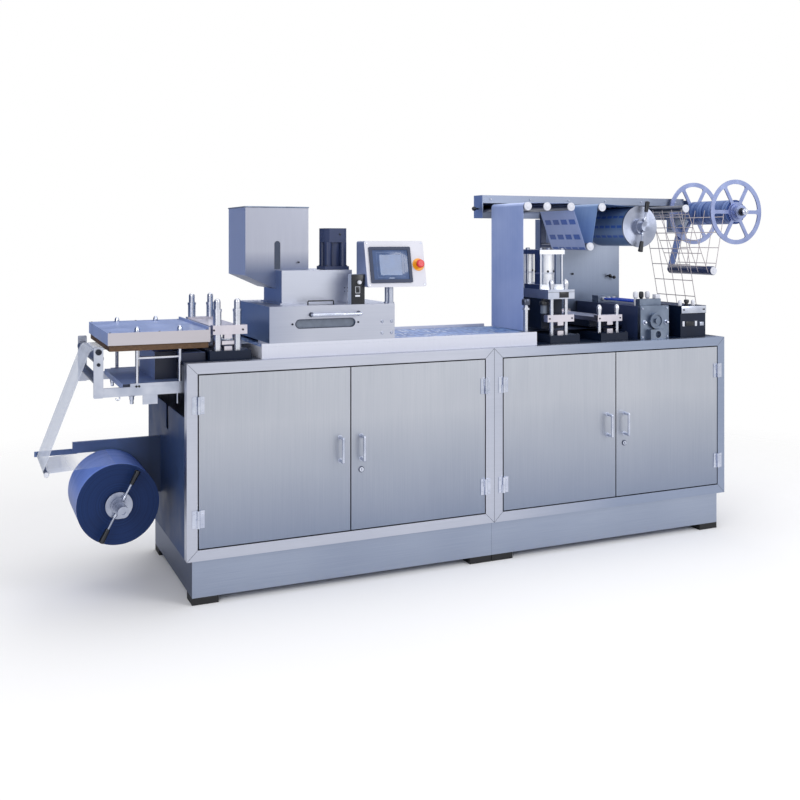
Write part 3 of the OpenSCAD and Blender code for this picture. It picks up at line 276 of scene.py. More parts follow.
def lacqueredFoil(name, light, dark, fade):
    material, tree, place = startMaterial(name)
    along = stretch(tree, place, foilLook["lineMm"])
    lines = addNode(tree, "TexNoise", {"Vector": along, "Scale": 1.0, "Detail": 3.0})[0]
    soft = addNode(tree, "TexNoise", {"Vector": place, "Scale": perMm(foilLook["softMm"]), "Detail": 2.0})[0]
    both = addNode(tree, "Mix", {0: 0.6, 2: lines, 3: soft}, data_type="FLOAT")[0]
    tone = twoTone(tree, both, toLinear(dark), toLinear(light), 0.35, 0.65)
    # painted shade: fade deepens the tone along one axis
    return closeMaterial(material, {
        "Base Color": paintedShadeTone(tree, place, tone, fade), "Metallic": 0.2, "Roughness": 0.4}, (both, 0.15, 0.002))


# Pressed insulating board: brown resin with pale fibres and a dull sawn edge
boardLook = {"fibreMm": (16.667, 16.667, 2.381), "tones": [(0.3, "#3b291c"), (0.55, "#5a412b"), (0.75, "#7b6148")]}


def insulatingBoard(name):
    material, tree, place = startMaterial(name)
    along = stretch(tree, place, boardLook["fibreMm"])
    fibre = addNode(tree, "TexNoise", {"Vector": along, "Scale": 1.0, "Detail": 5.0, "Roughness": 0.7})[0]
    stops = [(spot, toLinear(tone)) for spot, tone in boardLook["tones"]]
    tone = addNode(tree, "ValToRGB", {"Fac": fibre}, stops)[0]
    return closeMaterial(material, {
        "Base Color": tone, "Roughness": 0.72, "IOR": 1.5}, (fibre, 0.3, 0.0008))


# Formed film full of pale tablets over blue PVC: light dots in rows, each with a dark rim, on faces that look up
trayLook = {"rowMm": (15, 85, 1000), "shadeMm": 71.43, "floorTop": 0.9462, "pastX": 0.36, "plain": "#d0d3e1",
            "past": "#1d2a49", "tones": [(0.26, "#e6ecf8"), (0.34, "#34528e"), (0.5, "#5a79b6"), (0.7, "#8aa3d4")],
            "fade": ("X", 0.0, 0.3, "#b9d4dd")}


def tabletTray(name):
    look = trayLook
    material, tree, place = startMaterial(name)
    where = addNode(tree, "SeparateXYZ", {0: place})
    # rows drawn much longer than real tablets, which would vanish at this flat angle
    rows = stretch(tree, place, look["rowMm"])
    dots = addNode(tree, "TexVoronoi", {"Vector": rows, "Scale": 1.0, "Randomness": 0.7})["Distance"]
    shade = addNode(tree, "TexNoise", {"Vector": place, "Scale": perMm(look["shadeMm"]), "Detail": 3.0})[0]
    change = addNode(tree, "MapRange", {"Value": shade, 1: 0.3, 2: 0.7, 3: -0.12, 4: 0.12})[0]
    level = addNode(tree, "Math", {0: dots, 1: change}, operation="ADD")[0]
    stops = [(spot, toLinear(tone)) for spot, tone in look["tones"]]
    tone = addNode(tree, "ValToRGB", {"Fac": level}, stops)[0]
    isUp = addNode(tree, "Math", {0: facing(tree)["Z"], 1: faceLimit}, operation="GREATER_THAN")[0]
    isLow = addNode(tree, "Math", {0: where["Z"], 1: look["floorTop"]}, operation="LESS_THAN")[0]
    isFloor = addNode(tree, "Math", {0: isUp, 1: isLow}, operation="MULTIPLY")[0]
    # painted shadow: the tablet rows deepen in tone towards the foil web
    tone = paintedShadeTone(tree, place, tone, look["fade"])
    colour = addNode(tree, "Mix", {0: isFloor, 6: toLinear(look["plain"]), 7: tone},
                     data_type="RGBA")[2]
    isPast = addNode(tree, "Math", {0: where["X"], 1: look["pastX"]}, operation="GREATER_THAN")[0]
    colour = addNode(tree, "Mix", {0: isPast, 6: colour, 7: toLinear(look["past"])}, data_type="RGBA")[2]
    bump = addNode(tree, "Bump", {"Height": dots, "Strength": 0.5, "Distance": 0.003}, invert=True)[0]
    return closeMaterial(material, {"Base Color": colour, "Roughness": 0.3, "IOR": 1.5, "Normal": bump})


# Pane or screen: smooth glass over a coloured ground, which may glow, with faint smears in its gloss
glassLook = {"smearMm": 33.33, "gloss": (0.05, 0.16)}


def coveredGlass(name, colour, glow=0.0):
    material, tree, place = startMaterial(name)
    smear = addNode(tree, "TexNoise", {"Vector": place, "Scale": perMm(glassLook["smearMm"]), "Detail": 3.0})[0]
    tone = twoTone(tree, smear, toLinear(colour, 0.78), toLinear(colour))
    return closeMaterial(material, {
        "Base Color": tone, "Roughness": unevenGloss(tree, smear, *glassLook["gloss"]), "IOR": 1.52,
        "Emission Color": tone, "Emission Strength": glow})


# middle of a node's box
def middle(node):
    return [(a + b) / 2 for a, b in zip(*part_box(node))]


finish = {
    # painted reflection and shade on the stainless sheet: the fade tuples deepen the tone along one axis, and a last
    # colour paints the faces that look along minus X lighter on the hopper and beam, darker on the box, base and plinth
    "doorSheet": brushedStainless("brushedStainlessDoor", "#bbbec6", "#a8adb8", 2, 0.38, ("Z", 0.66, 0.16, "#b6c1d5")),
    "sheet": brushedStainless("brushedStainlessUpright", "#bcc0cd", "#a0a7b8", 2, 0.36),
    "hopperSheet": brushedStainless("brushedStainlessHopper", "#a9acba", "#9ca0b0", 2, 0.36,
                                    ("Z", 1.31, 1.22, "#a2acc2"), "#eef1fa"),
    "frameSheet": brushedStainless("brushedStainlessFrame", "#c0c3d0", "#b2b7c5", 0, 0.36, ("X", 0.0, 0.7, "#c6d0de")),
    "boxSheet": brushedStainless("brushedStainlessBox", "#c0c4d2", "#b4b9c8", 0, 0.36, None, "#8fa2c4"),
    "baseSheet": brushedStainless("brushedStainlessBase", "#b8bbc8", "#abb0bf", 0, 0.36,
                                  ("X", -0.74, -0.89, "#e6e9f0"), "#7f98bc"),
    "columnSheet": brushedStainless("brushedStainlessColumn", "#a0a9bb", "#8f98ab", 2, 0.4, ("Z", 1.3, 1.0, "#b4bfd0")),
    "plinthSheet": brushedStainless("brushedStainlessPlinth", "#a2abbd", "#8d97ac", 0, 0.42, None, "#4a5670"),
    "beamSheet": brushedStainless("brushedStainlessBeam", "#8c95a6", "#787f92", 0, 0.42,
                                  ("Z", 1.482, 1.502, "#46557a", "Y", 0.17), "#9fb4dc"),
    "bluePaint": sprayedEnamel("blueGreyEnamel", "#33456a", 0.5, ior=1.2),
    "lowerPaint": sprayedEnamel("lavenderBlueEnamel", "#7c92c8", 0.4, front="#121c36"),
    # painted shade: the arm's enamel turns deeper along X
    "armPaint": sprayedEnamel("steelBlueEnamel", "#5a72a4", 0.4, fade=("X", -1.4, -1.26, "#76828c")),
    "dancerPaint": sprayedEnamel("slateBlueEnamel", "#5a72ac", 0.36),
    "slatePaint": sprayedEnamel("slateEnamel", "#28355a", 0.36),
    "switchPaint": sprayedEnamel("switchBoxEnamel", "#97a3bd", 0.4, front="#151d30"),
    "blackPaint": sprayedEnamel("blackEnamel", "#0c1930", 0.34, ior=1.35),
    "panelEnamel": sprayedEnamel("panelGreyEnamel", "#7583ac", 0.42, front="#cfd0dc"),
    "heaterEnamel": sprayedEnamel("lavenderEnamel", "#8294c4", 0.34, front="#b8b4bb"),
    "chrome": machinedMetal("polishedChrome", "#cdd2e0", "#b1b8cb", 0.14),
    "alloy": machinedMetal("milledAluminium", "#c3c8d6", "#a9b0c2", 0.32),
    "castAlloy": machinedMetal("castAluminium", "#7f8a9c", "#646f82", 0.38, 4.0),
    # painted reflection: the air cylinders darken where they turn away to the sides
    "brightAlloy": machinedMetal("polishedAluminium", "#eceef4", "#dfe2ea", 0.28, edge="#5d6c8c"),
    "plateAlloy": machinedMetal("milledPlate", "#d2cdd6", "#c3c0cb", 0.34),
    "turnedAlloy": machinedMetal("turnedAluminium", "#a8aebf", "#8f96aa", 0.3, 2.2, 0.8),
    "satinChrome": machinedMetal("satinChrome", "#d6d8e1", "#c2c6d2", 0.26),
    "paleAlloy": machinedMetal("anodisedAluminium", "#929dc2", "#7e89b0", 0.42),
    "rubber": mouldedPlastic("blackRubber", "#16171b", 0.7),
    "blackPlastic": mouldedPlastic("blackBakelite", "#10141e", 0.3),
    "whitePlastic": mouldedPlastic("whiteAcetal", "#d9dce8", 0.35),
    "redPlastic": mouldedPlastic("redThermoplastic", "#d0202c", 0.28),
    "yellowPlastic": mouldedPlastic("yellowThermoplastic", "#f0a31e", 0.4),
    "tubePlastic": mouldedPlastic("bluePolyurethane", "#2450d6", 0.25),
    "bezelPlastic": mouldedPlastic("charcoalAbs", "#1b2a4a", 0.5),
    "navyRoller": mouldedPlastic("navyLacquer", "#26345e", 0.25),
    "seam": sprayedEnamel("shadowedSeam", "#4b5160", 0.6),
    "darkRing": machinedMetal("darkNickel", "#5d6272", "#484d5c", 0.3),
    "darkSteel": machinedMetal("blackenedSteel", "#3a3d47", "#2a2d36", 0.32),
    "board": insulatingBoard("pressedInsulatingBoard"),
    "filmRoll": woundFilm("woundPvcFilm", filmRollLook, middle("film_roll")),
    "wasteCoil": woundFilm("woundWasteFilm", wasteCoilLook, middle("waste_coil")),
    "film": clearFilm("clearPvcFilm", "#e9effc", 0.54, (-1.63, -1.56, 0.7)),
    # painted shade: the foil turns deeper past x 0.7 m
    "foil": lacqueredFoil("lacqueredAluminiumFoil", "#a7b8e4", "#90a4d8", ("X", 0.66, 0.7, "#b7cdd5")),
    "printInk": sprayedEnamel("printedBlueInk", "#3560b8", 0.4),
    "wasteFilm": clearFilm("trimmedPvcFilm", "#cdc5ca", 1.0),
    "tray": tabletTray("tabletTray"),
    "glass": coveredGlass("paleGlass", "#6d7789"),
    "darkGlass": coveredGlass("smokedGlass", "#3c475e"),
    "screen": coveredGlass("litScreenGround", "#435985", 0.04),
    "screenField": coveredGlass("litScreenField", "#4f6a99", 0.04),
    "screenLine": coveredGlass("litScreenLine", "#7a90ba", 0.06),
}
print("materials made:", len(finish))

# which finish each CAD node wears
wears = {
    "doorSheet": ["door_1", "door_2", "door_3", "door_4"],
    "sheet": ["cabinet_panels", "panel_post"],
    "columnSheet": ["back_column"],
    "hopperSheet": ["hopper"],
    "frameSheet": ["front_frames"],
    "boxSheet": ["feeder_box"],
    "baseSheet": ["feeder_base"],
    "plinthSheet": ["plinth"],
    "beamSheet": ["foil_beam"],
    "bluePaint": ["left_end_panel"],
    "lowerPaint": ["heater_block"],
    "armPaint": ["roll_arm"],
    "dancerPaint": ["dancer_arm"],
    "slatePaint": ["feeder_motor", "draw_block"],
    "switchPaint": ["speed_box"],
    "blackPaint": ["table_top", "station_bases", "punch_block"],
    "tray": ["guide_rail", "blister_web"],
    "panelEnamel": ["control_panel"],
    "heaterEnamel": ["heater_plate"],
    "chrome": ["frame_hinges", "feeder_handle",
               "door_fittings_1", "door_fittings_2", "door_fittings_3", "door_fittings_4"],
    "alloy": ["infeed_brackets", "sealing_platen"],
    "darkRing": ["guide_rollers", "infeed_rollers"],
    "brightAlloy": ["air_cylinders"],
    "plateAlloy": ["cross_plates"],
    "satinChrome": ["guide_posts"],
    "turnedAlloy": ["roll_clamp", "foil_flange"],
    "castAlloy": ["draw_gearbox"],
    "paleAlloy": ["waste_reel"],
    "rubber": ["feet"],
    "bezelPlastic": ["touch_screen"],
    "redPlastic": ["stop_button"],
    "tubePlastic": ["air_tubes"],
    "navyRoller": ["dancer_roller"],
    "board": ["heater_board"],
    "filmRoll": ["film_roll"],
    "wasteCoil": ["waste_coil"],
    "film": ["film_web"],
    "foil": ["foil_web", "foil_roll"],
    "wasteFilm": ["waste_web"],
}
for key, nodeNames in wears.items():
    for nodeName in nodeNames:
        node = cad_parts[nodeName]
        node.data.materials.clear()
        node.data.materials.append(finish[key])
print("CAD nodes dressed")

# place of a point given in mm from the cabinet's lower front left corner
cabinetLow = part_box("front_frames")[0]


def at(x, y, z):
    return Vector((cabinetLow[0] + x * mm, cabinetLow[1] + y * mm, z * mm))


# box between two corners, with softened edges
def addBox(mesh, low, high, soften=0.6):
    verts = bmesh.ops.create_cube(mesh, size=1.0)["verts"]
    for vert in verts:
        vert.co = Vector([(a + b) / 2 + c * (b - a) for a, b, c in zip(low, high, vert.co)])
    if soften:
        edges = list(dict.fromkeys(edge for vert in verts for edge in vert.link_edges))
        bmesh.ops.bevel(mesh, geom=edges, offset=soften, segments=2, profile=0.5, affect="EDGES")


# ring of points round a middle, or one point
def addRing(mesh, middlePoint, across, other, radius, sides, count):
    turns = [i * math.tau / sides for i in range(count)]
    return [mesh.verts.new(middlePoint + radius * (math.cos(t) * across + math.sin(t) * other)) for t in turns]


# turned form: radius and distance pairs along an axis from a point
def addTurned(mesh, start, axis, profile, sides=28):
    axis = Vector(axis).normalized()
    across = axis.orthogonal().normalized()
    other = axis.cross(across)
    rings = [addRing(mesh, Vector(start) + axis * along, across, other, radius, sides, 1 if radius < 1e-6 else sides)
             for radius, along in profile]
    for first, second in zip(rings, rings[1:]):
        for i in range(sides):
            j = (i + 1) % sides
            corners = [first[i % len(first)], first[j % len(first)], second[j % len(second)], second[i % len(second)]]
            corners = list(dict.fromkeys(corners))
            if len(corners) > 2:
                mesh.faces.new(corners)


# round bar that follows points, with flat ends
def addTube(mesh, points, radius, sides=10):
    points = [Vector(p) for p in points]
    last = len(points) - 1
    across = (points[1] - points[0]).normalized().orthogonal().normalized()
    rings = []
    for i, point in enumerate(points):
        way = (points[min(i + 1, last)] - points[max(i - 1, 0)]).normalized()
        across = (across - across.dot(way) * way).normalized()
        rings.append(addRing(mesh, point, across, way.cross(across), radius, sides, sides))
    for first, second in zip(rings, rings[1:]):
        for i in range(sides):
            mesh.faces.new([first[i], first[(i + 1) % sides], second[(i + 1) % sides], second[i]])
    mesh.faces.new(rings[0][::-1])
    mesh.faces.new(rings[-1])


# flat plate: outline of x and z pairs, between two y
def addPlate(mesh, outline, front, back):
    near = [mesh.verts.new((x, front, z)) for x, z in outline]
    far = [mesh.verts.new((x, back, z)) for x, z in outline]
    mesh.faces.new(near)
    mesh.faces.new(far[::-1])
    for i in range(len(outline)):
        j = (i + 1) % len(outline)
        mesh.faces.new([near[j], near[i], far[i], far[j]])


# four corners of a rectangle, as pairs
def rectangle(left, right, low, high):
    return [(left, low), (right, low), (right, high), (left, high)]


# points round a slot with round ends
def slotOutline(left, right, level, radius, steps=10):
    turns = [math.pi * i / steps for i in range(steps + 1)]
    return ([(right + radius * math.sin(t), level - radius * math.cos(t)) for t in turns]
            + [(left - radius * math.sin(t), level + radius * math.cos(t)) for t in turns])


# thin round bar along a closed outline of x and z pairs
def addFrame(mesh, outline, y, radius, sides):
    addTube(mesh, [(x, y, z) for x, z in outline + outline[:2]], radius, sides)


# finished piece: from mm to metres, sharp edges kept, dressed, riding on a body; move places it before that
def setPiece(mesh, name, key, body="machine", move=None):
    bmesh.ops.recalc_face_normals(mesh, faces=mesh.faces)
    for edge in mesh.edges:
        edge.smooth = len(edge.link_faces) == 2 and edge.calc_face_angle() < math.radians(34)
    for face in mesh.faces:
        face.smooth = True
    for vert in mesh.verts:
        vert.co = at(*(move @ vert.co if move else vert.co))
    data = bpy.data.meshes.new(name)
    mesh.to_mesh(data)
    mesh.free()
    data.materials.append(finish[key])
    piece = bpy.data.objects.new(name, data)
    bpy.context.scene.collection.objects.link(piece)
    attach(piece, body)


# the same turned form at several places
def addEach(mesh, places, way, profile, sides=16):
    for place in places:
        addTurned(mesh, place, way, profile, sides)


# a piece made of nothing else
def setEach(name, key, places, way, profile, sides=16, body="machine", move=None):
    mesh = bmesh.new()
    addEach(mesh, places, way, profile, sides)
    setPiece(mesh, name, key, body, move)


# heads of fasteners: profile of radius and height, from the face they sit on
def capScrew(r):
    return [(r, 0), (r, 0.75 * r), (0.9 * r, 0.9 * r), (0.52 * r, 0.9 * r), (0.5 * r, 0.35 * r), (0, 0.35 * r)]


def acornNut(r):
    dome = [(r * math.cos(a), 1.5 * r + r * math.sin(a)) for a in [math.radians(15 * i) for i in range(1, 6)]]
    nut = [(1.5 * r, 0), (1.5 * r, 0.25 * r), (1.15 * r, 0.25 * r), (1.15 * r, 1.2 * r), (r, 1.5 * r)]
    return nut + dome + [(0, 2.5 * r)]


def ballKnob(r, stem):
    turns = [math.radians(30 + 15 * i) for i in range(10)]
    ball = [(r * math.sin(a), stem + 0.85 * r - r * math.cos(a)) for a in turns]
    return [(0.45 * r, 0), (0.45 * r, stem), *ball, (0, stem + 1.85 * r)]


frontWay, backWay, leftWay, upWay, downWay = (0, -1, 0), (0, 1, 0), (-1, 0, 0), (0, 0, 1), (0, 0, -1)

# cabinet: dark mitre seams on the frames, hinge screws, handle roses and key slots
cabinet = {"bays": [(0, 1290), (1290, 2525)], "low": 170, "high": 900, "bar": 40, "seamHalf": 1.12, "middleHalf": 0.9,
           "seamY": (-0.15, 0.5), "hinges": (325, 745), "screwOut": 16, "screwUp": 20, "handle": 537, "handleHalf": 45,
           "handleIn": 42, "lockDrop": 87,
           "doors": {"door_1": (42.5, 1), "door_2": (1247.2, -1), "door_3": (1332.5, 1), "door_4": (2482.2, -1)},
           "screw": [(3.4, 0), (3.2, 0.8), (1.2, 1.1), (1.0, 0.4), (0, 0.4)],
           "rose": [(10.5, 0), (10.5, 1.6), (9.5, 2.6), (6.2, 2.8), (6.2, 9), (6.15, 9.2)],
           "lockRing": [(12.5, 0), (12.5, 1.2), (11.5, 2), (9.1, 2.1)]}
low, high, half = cabinet["low"], cabinet["high"], cabinet["seamHalf"]
mesh = bmesh.new()
for left, right in cabinet["bays"]:
    for x, wayX in ((left, 1), (right, -1)):
        for z, wayZ in ((low, 1), (high, -1)):
            inX, inZ = x + wayX * cabinet["bar"], z + wayZ * cabinet["bar"]
            mitre = [(x + wayX * half, z), (x, z + wayZ * half), (inX - wayX * half, inZ), (inX, inZ - wayZ * half)]
            addPlate(mesh, mitre, *cabinet["seamY"])
middleX, half = cabinet["bays"][0][1], cabinet["middleHalf"]
addPlate(mesh, rectangle(middleX - half, middleX + half, low, high), *cabinet["seamY"])
setPiece(mesh, "frameSeams", "seam")
frameScrews = []
for doorName, (axisX, side) in cabinet["doors"].items():
    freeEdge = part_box(doorName)[1 if side == 1 else 0][0]
    handleX = (freeEdge - cabinetLow[0]) / mm - side * cabinet["handleIn"]
    heights = [z + dz for z in cabinet["hinges"] for dz in (-cabinet["screwUp"], cabinet["screwUp"])]
    frameScrews += [(axisX - side * cabinet["screwOut"], -3, z) for z in heights]
    setEach(doorName + "HandleRoses", "alloy",
            [(handleX, -0.2, cabinet["handle"] + dz) for dz in (-cabinet["handleHalf"], cabinet["handleHalf"])],
            frontWay, cabinet["rose"], 24, doorName)
    if side == -1:
        lockZ = cabinet["handle"] - cabinet["lockDrop"]
        mesh = bmesh.new()
        addBox(mesh, (handleX - 1.1, -5.9, lockZ - 5), (handleX + 1.1, -4.8, lockZ + 5), 0.2)
        addTurned(mesh, (handleX, -0.1, lockZ), frontWay, cabinet["lockRing"])
        setPiece(mesh, doorName + "KeySlot", "darkRing", doorName)
    setEach(doorName + "HingeScrews", "chrome", [(axisX + side * cabinet["screwOut"], -3, z) for z in heights],
            frontWay, cabinet["screw"], 16, doorName)
setEach("frameHingeScrews", "chrome", frameScrews, frontWay, cabinet["screw"])
latch = {"place": (2525, 70, 771), "size": (14, 26, 34)}
x, y, z = latch["place"]
wide, deep, tall = latch["size"]
mesh = bmesh.new()
addBox(mesh, (x - 0.3, y, z - tall / 2), (x + wide / 2, y + deep, z + tall / 2), 1.5)
addBox(mesh, (x + wide / 2 - 1, y + 6, z - 4), (x + wide, y + 20, z + 12), 1.2)
setPiece(mesh, "sideLatch", "blackPlastic")
print("cabinet details set")

# film side: bracket screws, bar bolts and hook, rod end
filmSide = {"bracketX": -302, "bracketY": (80, 585), "screws": [(949, 11), (903, 6.5)], "boltX": (-168, -158),
            "boltZ": 817, "barZ": 783, "hexX": -184, "hookX": -234, "hookR": 7, "tieX": -16, "tieDrop": 38,
            "hex": [(12, 0), (12, 2), (8.5, 2), (8.5, 14), (7, 15), (7, 28), (5.5, 30), (0, 30)],
            "rodEnd": (-475, 154, 506), "rodCap": [(8.6, 0), (9.2, 2), (9.2, 9), (8, 11), (0, 11.5)]}
screws, dark, bright = bmesh.new(), bmesh.new(), bmesh.new()
barZ, tieX, hookX, hookR = [filmSide[key] for key in ("barZ", "tieX", "hookX", "hookR")]
hookTurns = [math.radians(20 * i - 60) for i in range(13)]
for y, way in zip(filmSide["bracketY"], (frontWay, backWay)):
    for z, r in filmSide["screws"]:
        addTurned(screws, (filmSide["bracketX"], y, z), way, capScrew(r), 24)
    addEach(dark, [(x, y, filmSide["boltZ"]) for x in filmSide["boltX"]], way, capScrew(4.2))
    inner = y - 5 * way[1]
    addTurned(bright, (filmSide["hexX"], inner, barZ), downWay, filmSide["hex"], 6)
    addTube(bright, [(hookX + hookR * math.cos(a), inner, barZ - 6 - hookR * math.sin(a)) for a in hookTurns], 2.4)
    addTube(bright, [(tieX, inner, barZ), (tieX, inner, barZ - filmSide["tieDrop"])], 4)
setPiece(screws, "bracketScrews", "darkSteel")
setPiece(dark, "barScrews", "blackPlastic")
setPiece(bright, "barBolts", "chrome")
setEach("tensionRodEnd", "whitePlastic", [filmSide["rodEnd"]], frontWay, filmSide["rodCap"], 24)

# ribbed hand grips on the levers of both roll clamps: centre, angles, reach along the lever
levers = {
    "film_roll": {"centre": (-215, 166, 360), "angles": (62, 242), "from": 92, "length": 50},
    "foil_reel": {"centre": (2186, 162, 1417), "angles": (80, 260), "from": 72, "length": 46},
}
collar = [(7.5, 30), (7.5, 38), (5.4, 41), (5.3, 44)]
for body, look in levers.items():
    start, end = look["from"], look["from"] + look["length"]
    ribs = [(8.8 + 2.6 * k / 14 + (0.5 if k % 2 else 0), start + look["length"] * k / 14) for k in range(15)]
    grip = [(5.2, start - 3), (8, start - 2), *ribs, (10.4, end + 1.6), (7, end + 2.8), (0, end + 3)]
    grips, collars = bmesh.new(), bmesh.new()
    for angle in look["angles"]:
        way = (math.cos(math.radians(angle)), 0, math.sin(math.radians(angle)))
        addTurned(grips, look["centre"], way, grip, 22)
        addTurned(collars, look["centre"], way, collar, 20)
    setPiece(grips, body + "LeverGrips", "blackPlastic", body)
    setPiece(collars, body + "LeverCollars", "chrome", body)
print("film side details set")

# heater: acorn nuts and washers over the tie columns, screws near the plate's edges
heater = {"nuts": [(x, y, 1017) for x in (-165, -8) for y in (85, 580)],
          "screws": [(x, y, 1017) for x in (-262, -84, 92) for y in (78, 612)],
          "screw": [(4, 0), (4, 0.8), (3.2, 1.5), (1.6, 1.5), (1.5, 0.6), (0, 0.6)]}
setEach("heaterNuts", "chrome", heater["nuts"], upWay, acornNut(8), 24)
setEach("heaterScrews", "darkSteel", heater["screws"], upWay, heater["screw"])

# stations: screws on the black bases and bar ends
stations = {"bases": [(x, y, 935) for x in (104, 256, 1609, 1753, 1875, 2014) for y in (72, 548)],
            "bars": [(174, 70, 1013, 56), (1681, 94, 1006, 58), (1944.5, 94, 999, 56)]}
setEach("baseScrews", "darkSteel", stations["bases"], upWay, capScrew(5), 18)
setEach("barEndScrews", "darkSteel", [(x + dx, y, z) for x, y, z, half in stations["bars"] for dx in (-half, half)],
        frontWay, capScrew(3.6))

# rail pillar: dark clamp head and base screws
pillar = {"place": (1492, 80), "base": 953.5, "screwOut": 14.5,
          "head": [(16.4, 1072), (17.5, 1072), (18.5, 1074), (18.5, 1093), (16, 1098), (10.2, 1099)]}
x, y = pillar["place"]
mesh = bmesh.new()
addTurned(mesh, (x, y, 0), upWay, pillar["head"], 24)
for a in [math.radians(45 + 90 * i) for i in range(4)]:
    spot = (x + pillar["screwOut"] * math.cos(a), y + pillar["screwOut"] * math.sin(a), pillar["base"])
    addTurned(mesh, spot, upWay, capScrew(3), 14)
setPiece(mesh, "railPillarClamp", "darkRing")

# oil cup beside the sealing posts: ribbed glass under a black lid
oilCup = {"place": (1622, 142, 0), "glassFrom": 1026,
          "lid": [(14, 1063), (20, 1064), (21, 1067), (21, 1076), (18, 1082), (6, 1082), (6, 1093)]}
low = oilCup["glassFrom"]
ribs = [(14.5 + (0.9 if i % 2 else 0), low + 2 + 3 * i) for i in range(13)]
setEach("oilCupGlass", "glass", [oilCup["place"]], upWay, [(0, low), (12, low)] + ribs, 24)
setEach("oilCupLid", "blackPlastic", [oilCup["place"]], upWay, oilCup["lid"], 24)

# feeder: window pane and trim, bolts, handle roses, screws, tray insert
feeder = {"front": 40, "windowX": (448, 662), "windowZ": 1028, "windowR": 15.6, "trimOut": 1.4, "screwOut": 30,
          "bolts": [(796, 1027), (837, 1027), (796, 981), (837, 981)], "handleX": (495, 693), "handleZ": 1063,
          "rose": [(10, 0), (10, 2), (8.6, 3.4), (6.1, 3.6), (6.1, 11)],
          "motorBolts": [(x, y, 1247) for x in (611, 697) for y in (187, 273)], "motorPlug": (668, 182, 1378),
          "plug": [(5, 0), (5, 0.8), (3.5, 1.2), (0, 1.2)],
          "boxScrews": [(x, 150, z) for x in (676, 690) for z in (1146, 1160)],
          "boxScrew": [(2.2, 0), (2, 0.8), (0, 1)],
          "tray": ((498, 72, 1083), (614, 118, 1086)), "trayPad": ((520, 80, 1085.5), (575, 110, 1094)), "pullY": 96,
          "pull": [(500, 1086), (500, 1110), (502, 1113), (606, 1113), (608, 1110), (608, 1086)]}
front, windowZ, (left, right) = feeder["front"], feeder["windowZ"], feeder["windowX"]
mesh = bmesh.new()
addPlate(mesh, slotOutline(left, right, windowZ, feeder["windowR"]), front + 6, front + 10)
setPiece(mesh, "feederWindowPane", "glass")
mesh = bmesh.new()
addFrame(mesh, slotOutline(left, right, windowZ, feeder["windowR"] + feeder["trimOut"]), front - 0.4, 1.6, 8)
addEach(mesh, [(x, front, feeder["handleZ"]) for x in feeder["handleX"]], frontWay, feeder["rose"], 24)
setPiece(mesh, "feederTrim", "darkRing")
setEach("feederBolts", "chrome", [(x, front, z) for x, z in feeder["bolts"]], frontWay,
        [(7, 0), (7, 1)] + capScrew(4.5)[1:], 20)
mesh = bmesh.new()
screwX = (left - feeder["screwOut"], right + feeder["screwOut"])
addEach(mesh, [(x, front, windowZ) for x in screwX], frontWay, capScrew(4))
addEach(mesh, feeder["motorBolts"], upWay, capScrew(4.5))
addTurned(mesh, feeder["motorPlug"], frontWay, feeder["plug"], 18)
addEach(mesh, feeder["boxScrews"], frontWay, feeder["boxScrew"], 12)
setPiece(mesh, "feederScrews", "darkSteel")
mesh = bmesh.new()
addBox(mesh, *feeder["tray"], 0.8)
addBox(mesh, *feeder["trayPad"], 1.5)
addTube(mesh, [(x, feeder["pullY"], z) for x, z in feeder["pull"]], 2.6)
setPiece(mesh, "feederTrayInsert", "blackPlastic")

# hopper: pane in the sight slot, rolled rim, latch pin
hopper = {"slot": (403, 428, 1236, 1351), "slotR": 12.5, "play": 0.2, "x": (283, 548), "y": (230, 496), "top": 1489,
          "pin": (504, 230, 1264)}
left, right, low, high = hopper["slot"]
r, play, front = hopper["slotR"], hopper["play"], hopper["y"][0]
turns = [math.radians(15 * i) for i in range(13)]
arch = [(right - r + (r - play) * math.cos(a), high - r + (r - play) * math.sin(a)) for a in turns]
mesh = bmesh.new()
addPlate(mesh, [(left + play, low), (right - play, low)] + arch, front + 1.2, front + 2.6)
setPiece(mesh, "hopperPane", "darkGlass")
mesh = bmesh.new()
corners = [(x, y, hopper["top"] - 1) for x, y in rectangle(*hopper["x"], *hopper["y"])]
for start, end in zip(corners, corners[1:] + corners[:1]):
    addTube(mesh, [start, end], 3)
setPiece(mesh, "hopperRim", "castAlloy")
setEach("hopperPin", "blackPlastic", [hopper["pin"]], frontWay, ballKnob(4, 5))

# speed box: front plate, knob with ring, rocker switch in a white frame, pale plate
speedBox = {"front": 45, "x": (667, 719), "z": (1101, 1215), "knob": (696, 1186), "rocker": (691, 1156),
            "plate": (691, 1132), "ring": [(12, 0), (12, 1.5), (9, 2), (9, 4)],
            "cap": [(8, 0), (7.6, 11), (6.8, 12), (0, 12.2)]}
front, (left, right), (low, high) = speedBox["front"], speedBox["x"], speedBox["z"]
(knobX, knobZ), (x, z), (plateX, plateZ) = speedBox["knob"], speedBox["rocker"], speedBox["plate"]
mesh = bmesh.new()
addBox(mesh, (left, front - 1.4, low), (right, front + 0.2, high), 0.5)
addBox(mesh, (x - 6.5, front - 5, z - 10), (x + 6.5, front - 1.2, z + 10), 1.2)
addTurned(mesh, (knobX, front - 1.2, knobZ), frontWay, speedBox["ring"])
setPiece(mesh, "speedBoxFront", "blackPlastic")
mesh = bmesh.new()
addTurned(mesh, (knobX, front - 3, knobZ), frontWay, speedBox["cap"])
addFrame(mesh, rectangle(x - 9, x + 9, z - 12.5, z + 12.5), front - 2, 1.3, 8)
addBox(mesh, (plateX - 10, front - 2, plateZ - 3.5), (plateX + 10, front - 1.2, plateZ + 3.5), 0.3)
setPiece(mesh, "speedBoxKnob", "whitePlastic")

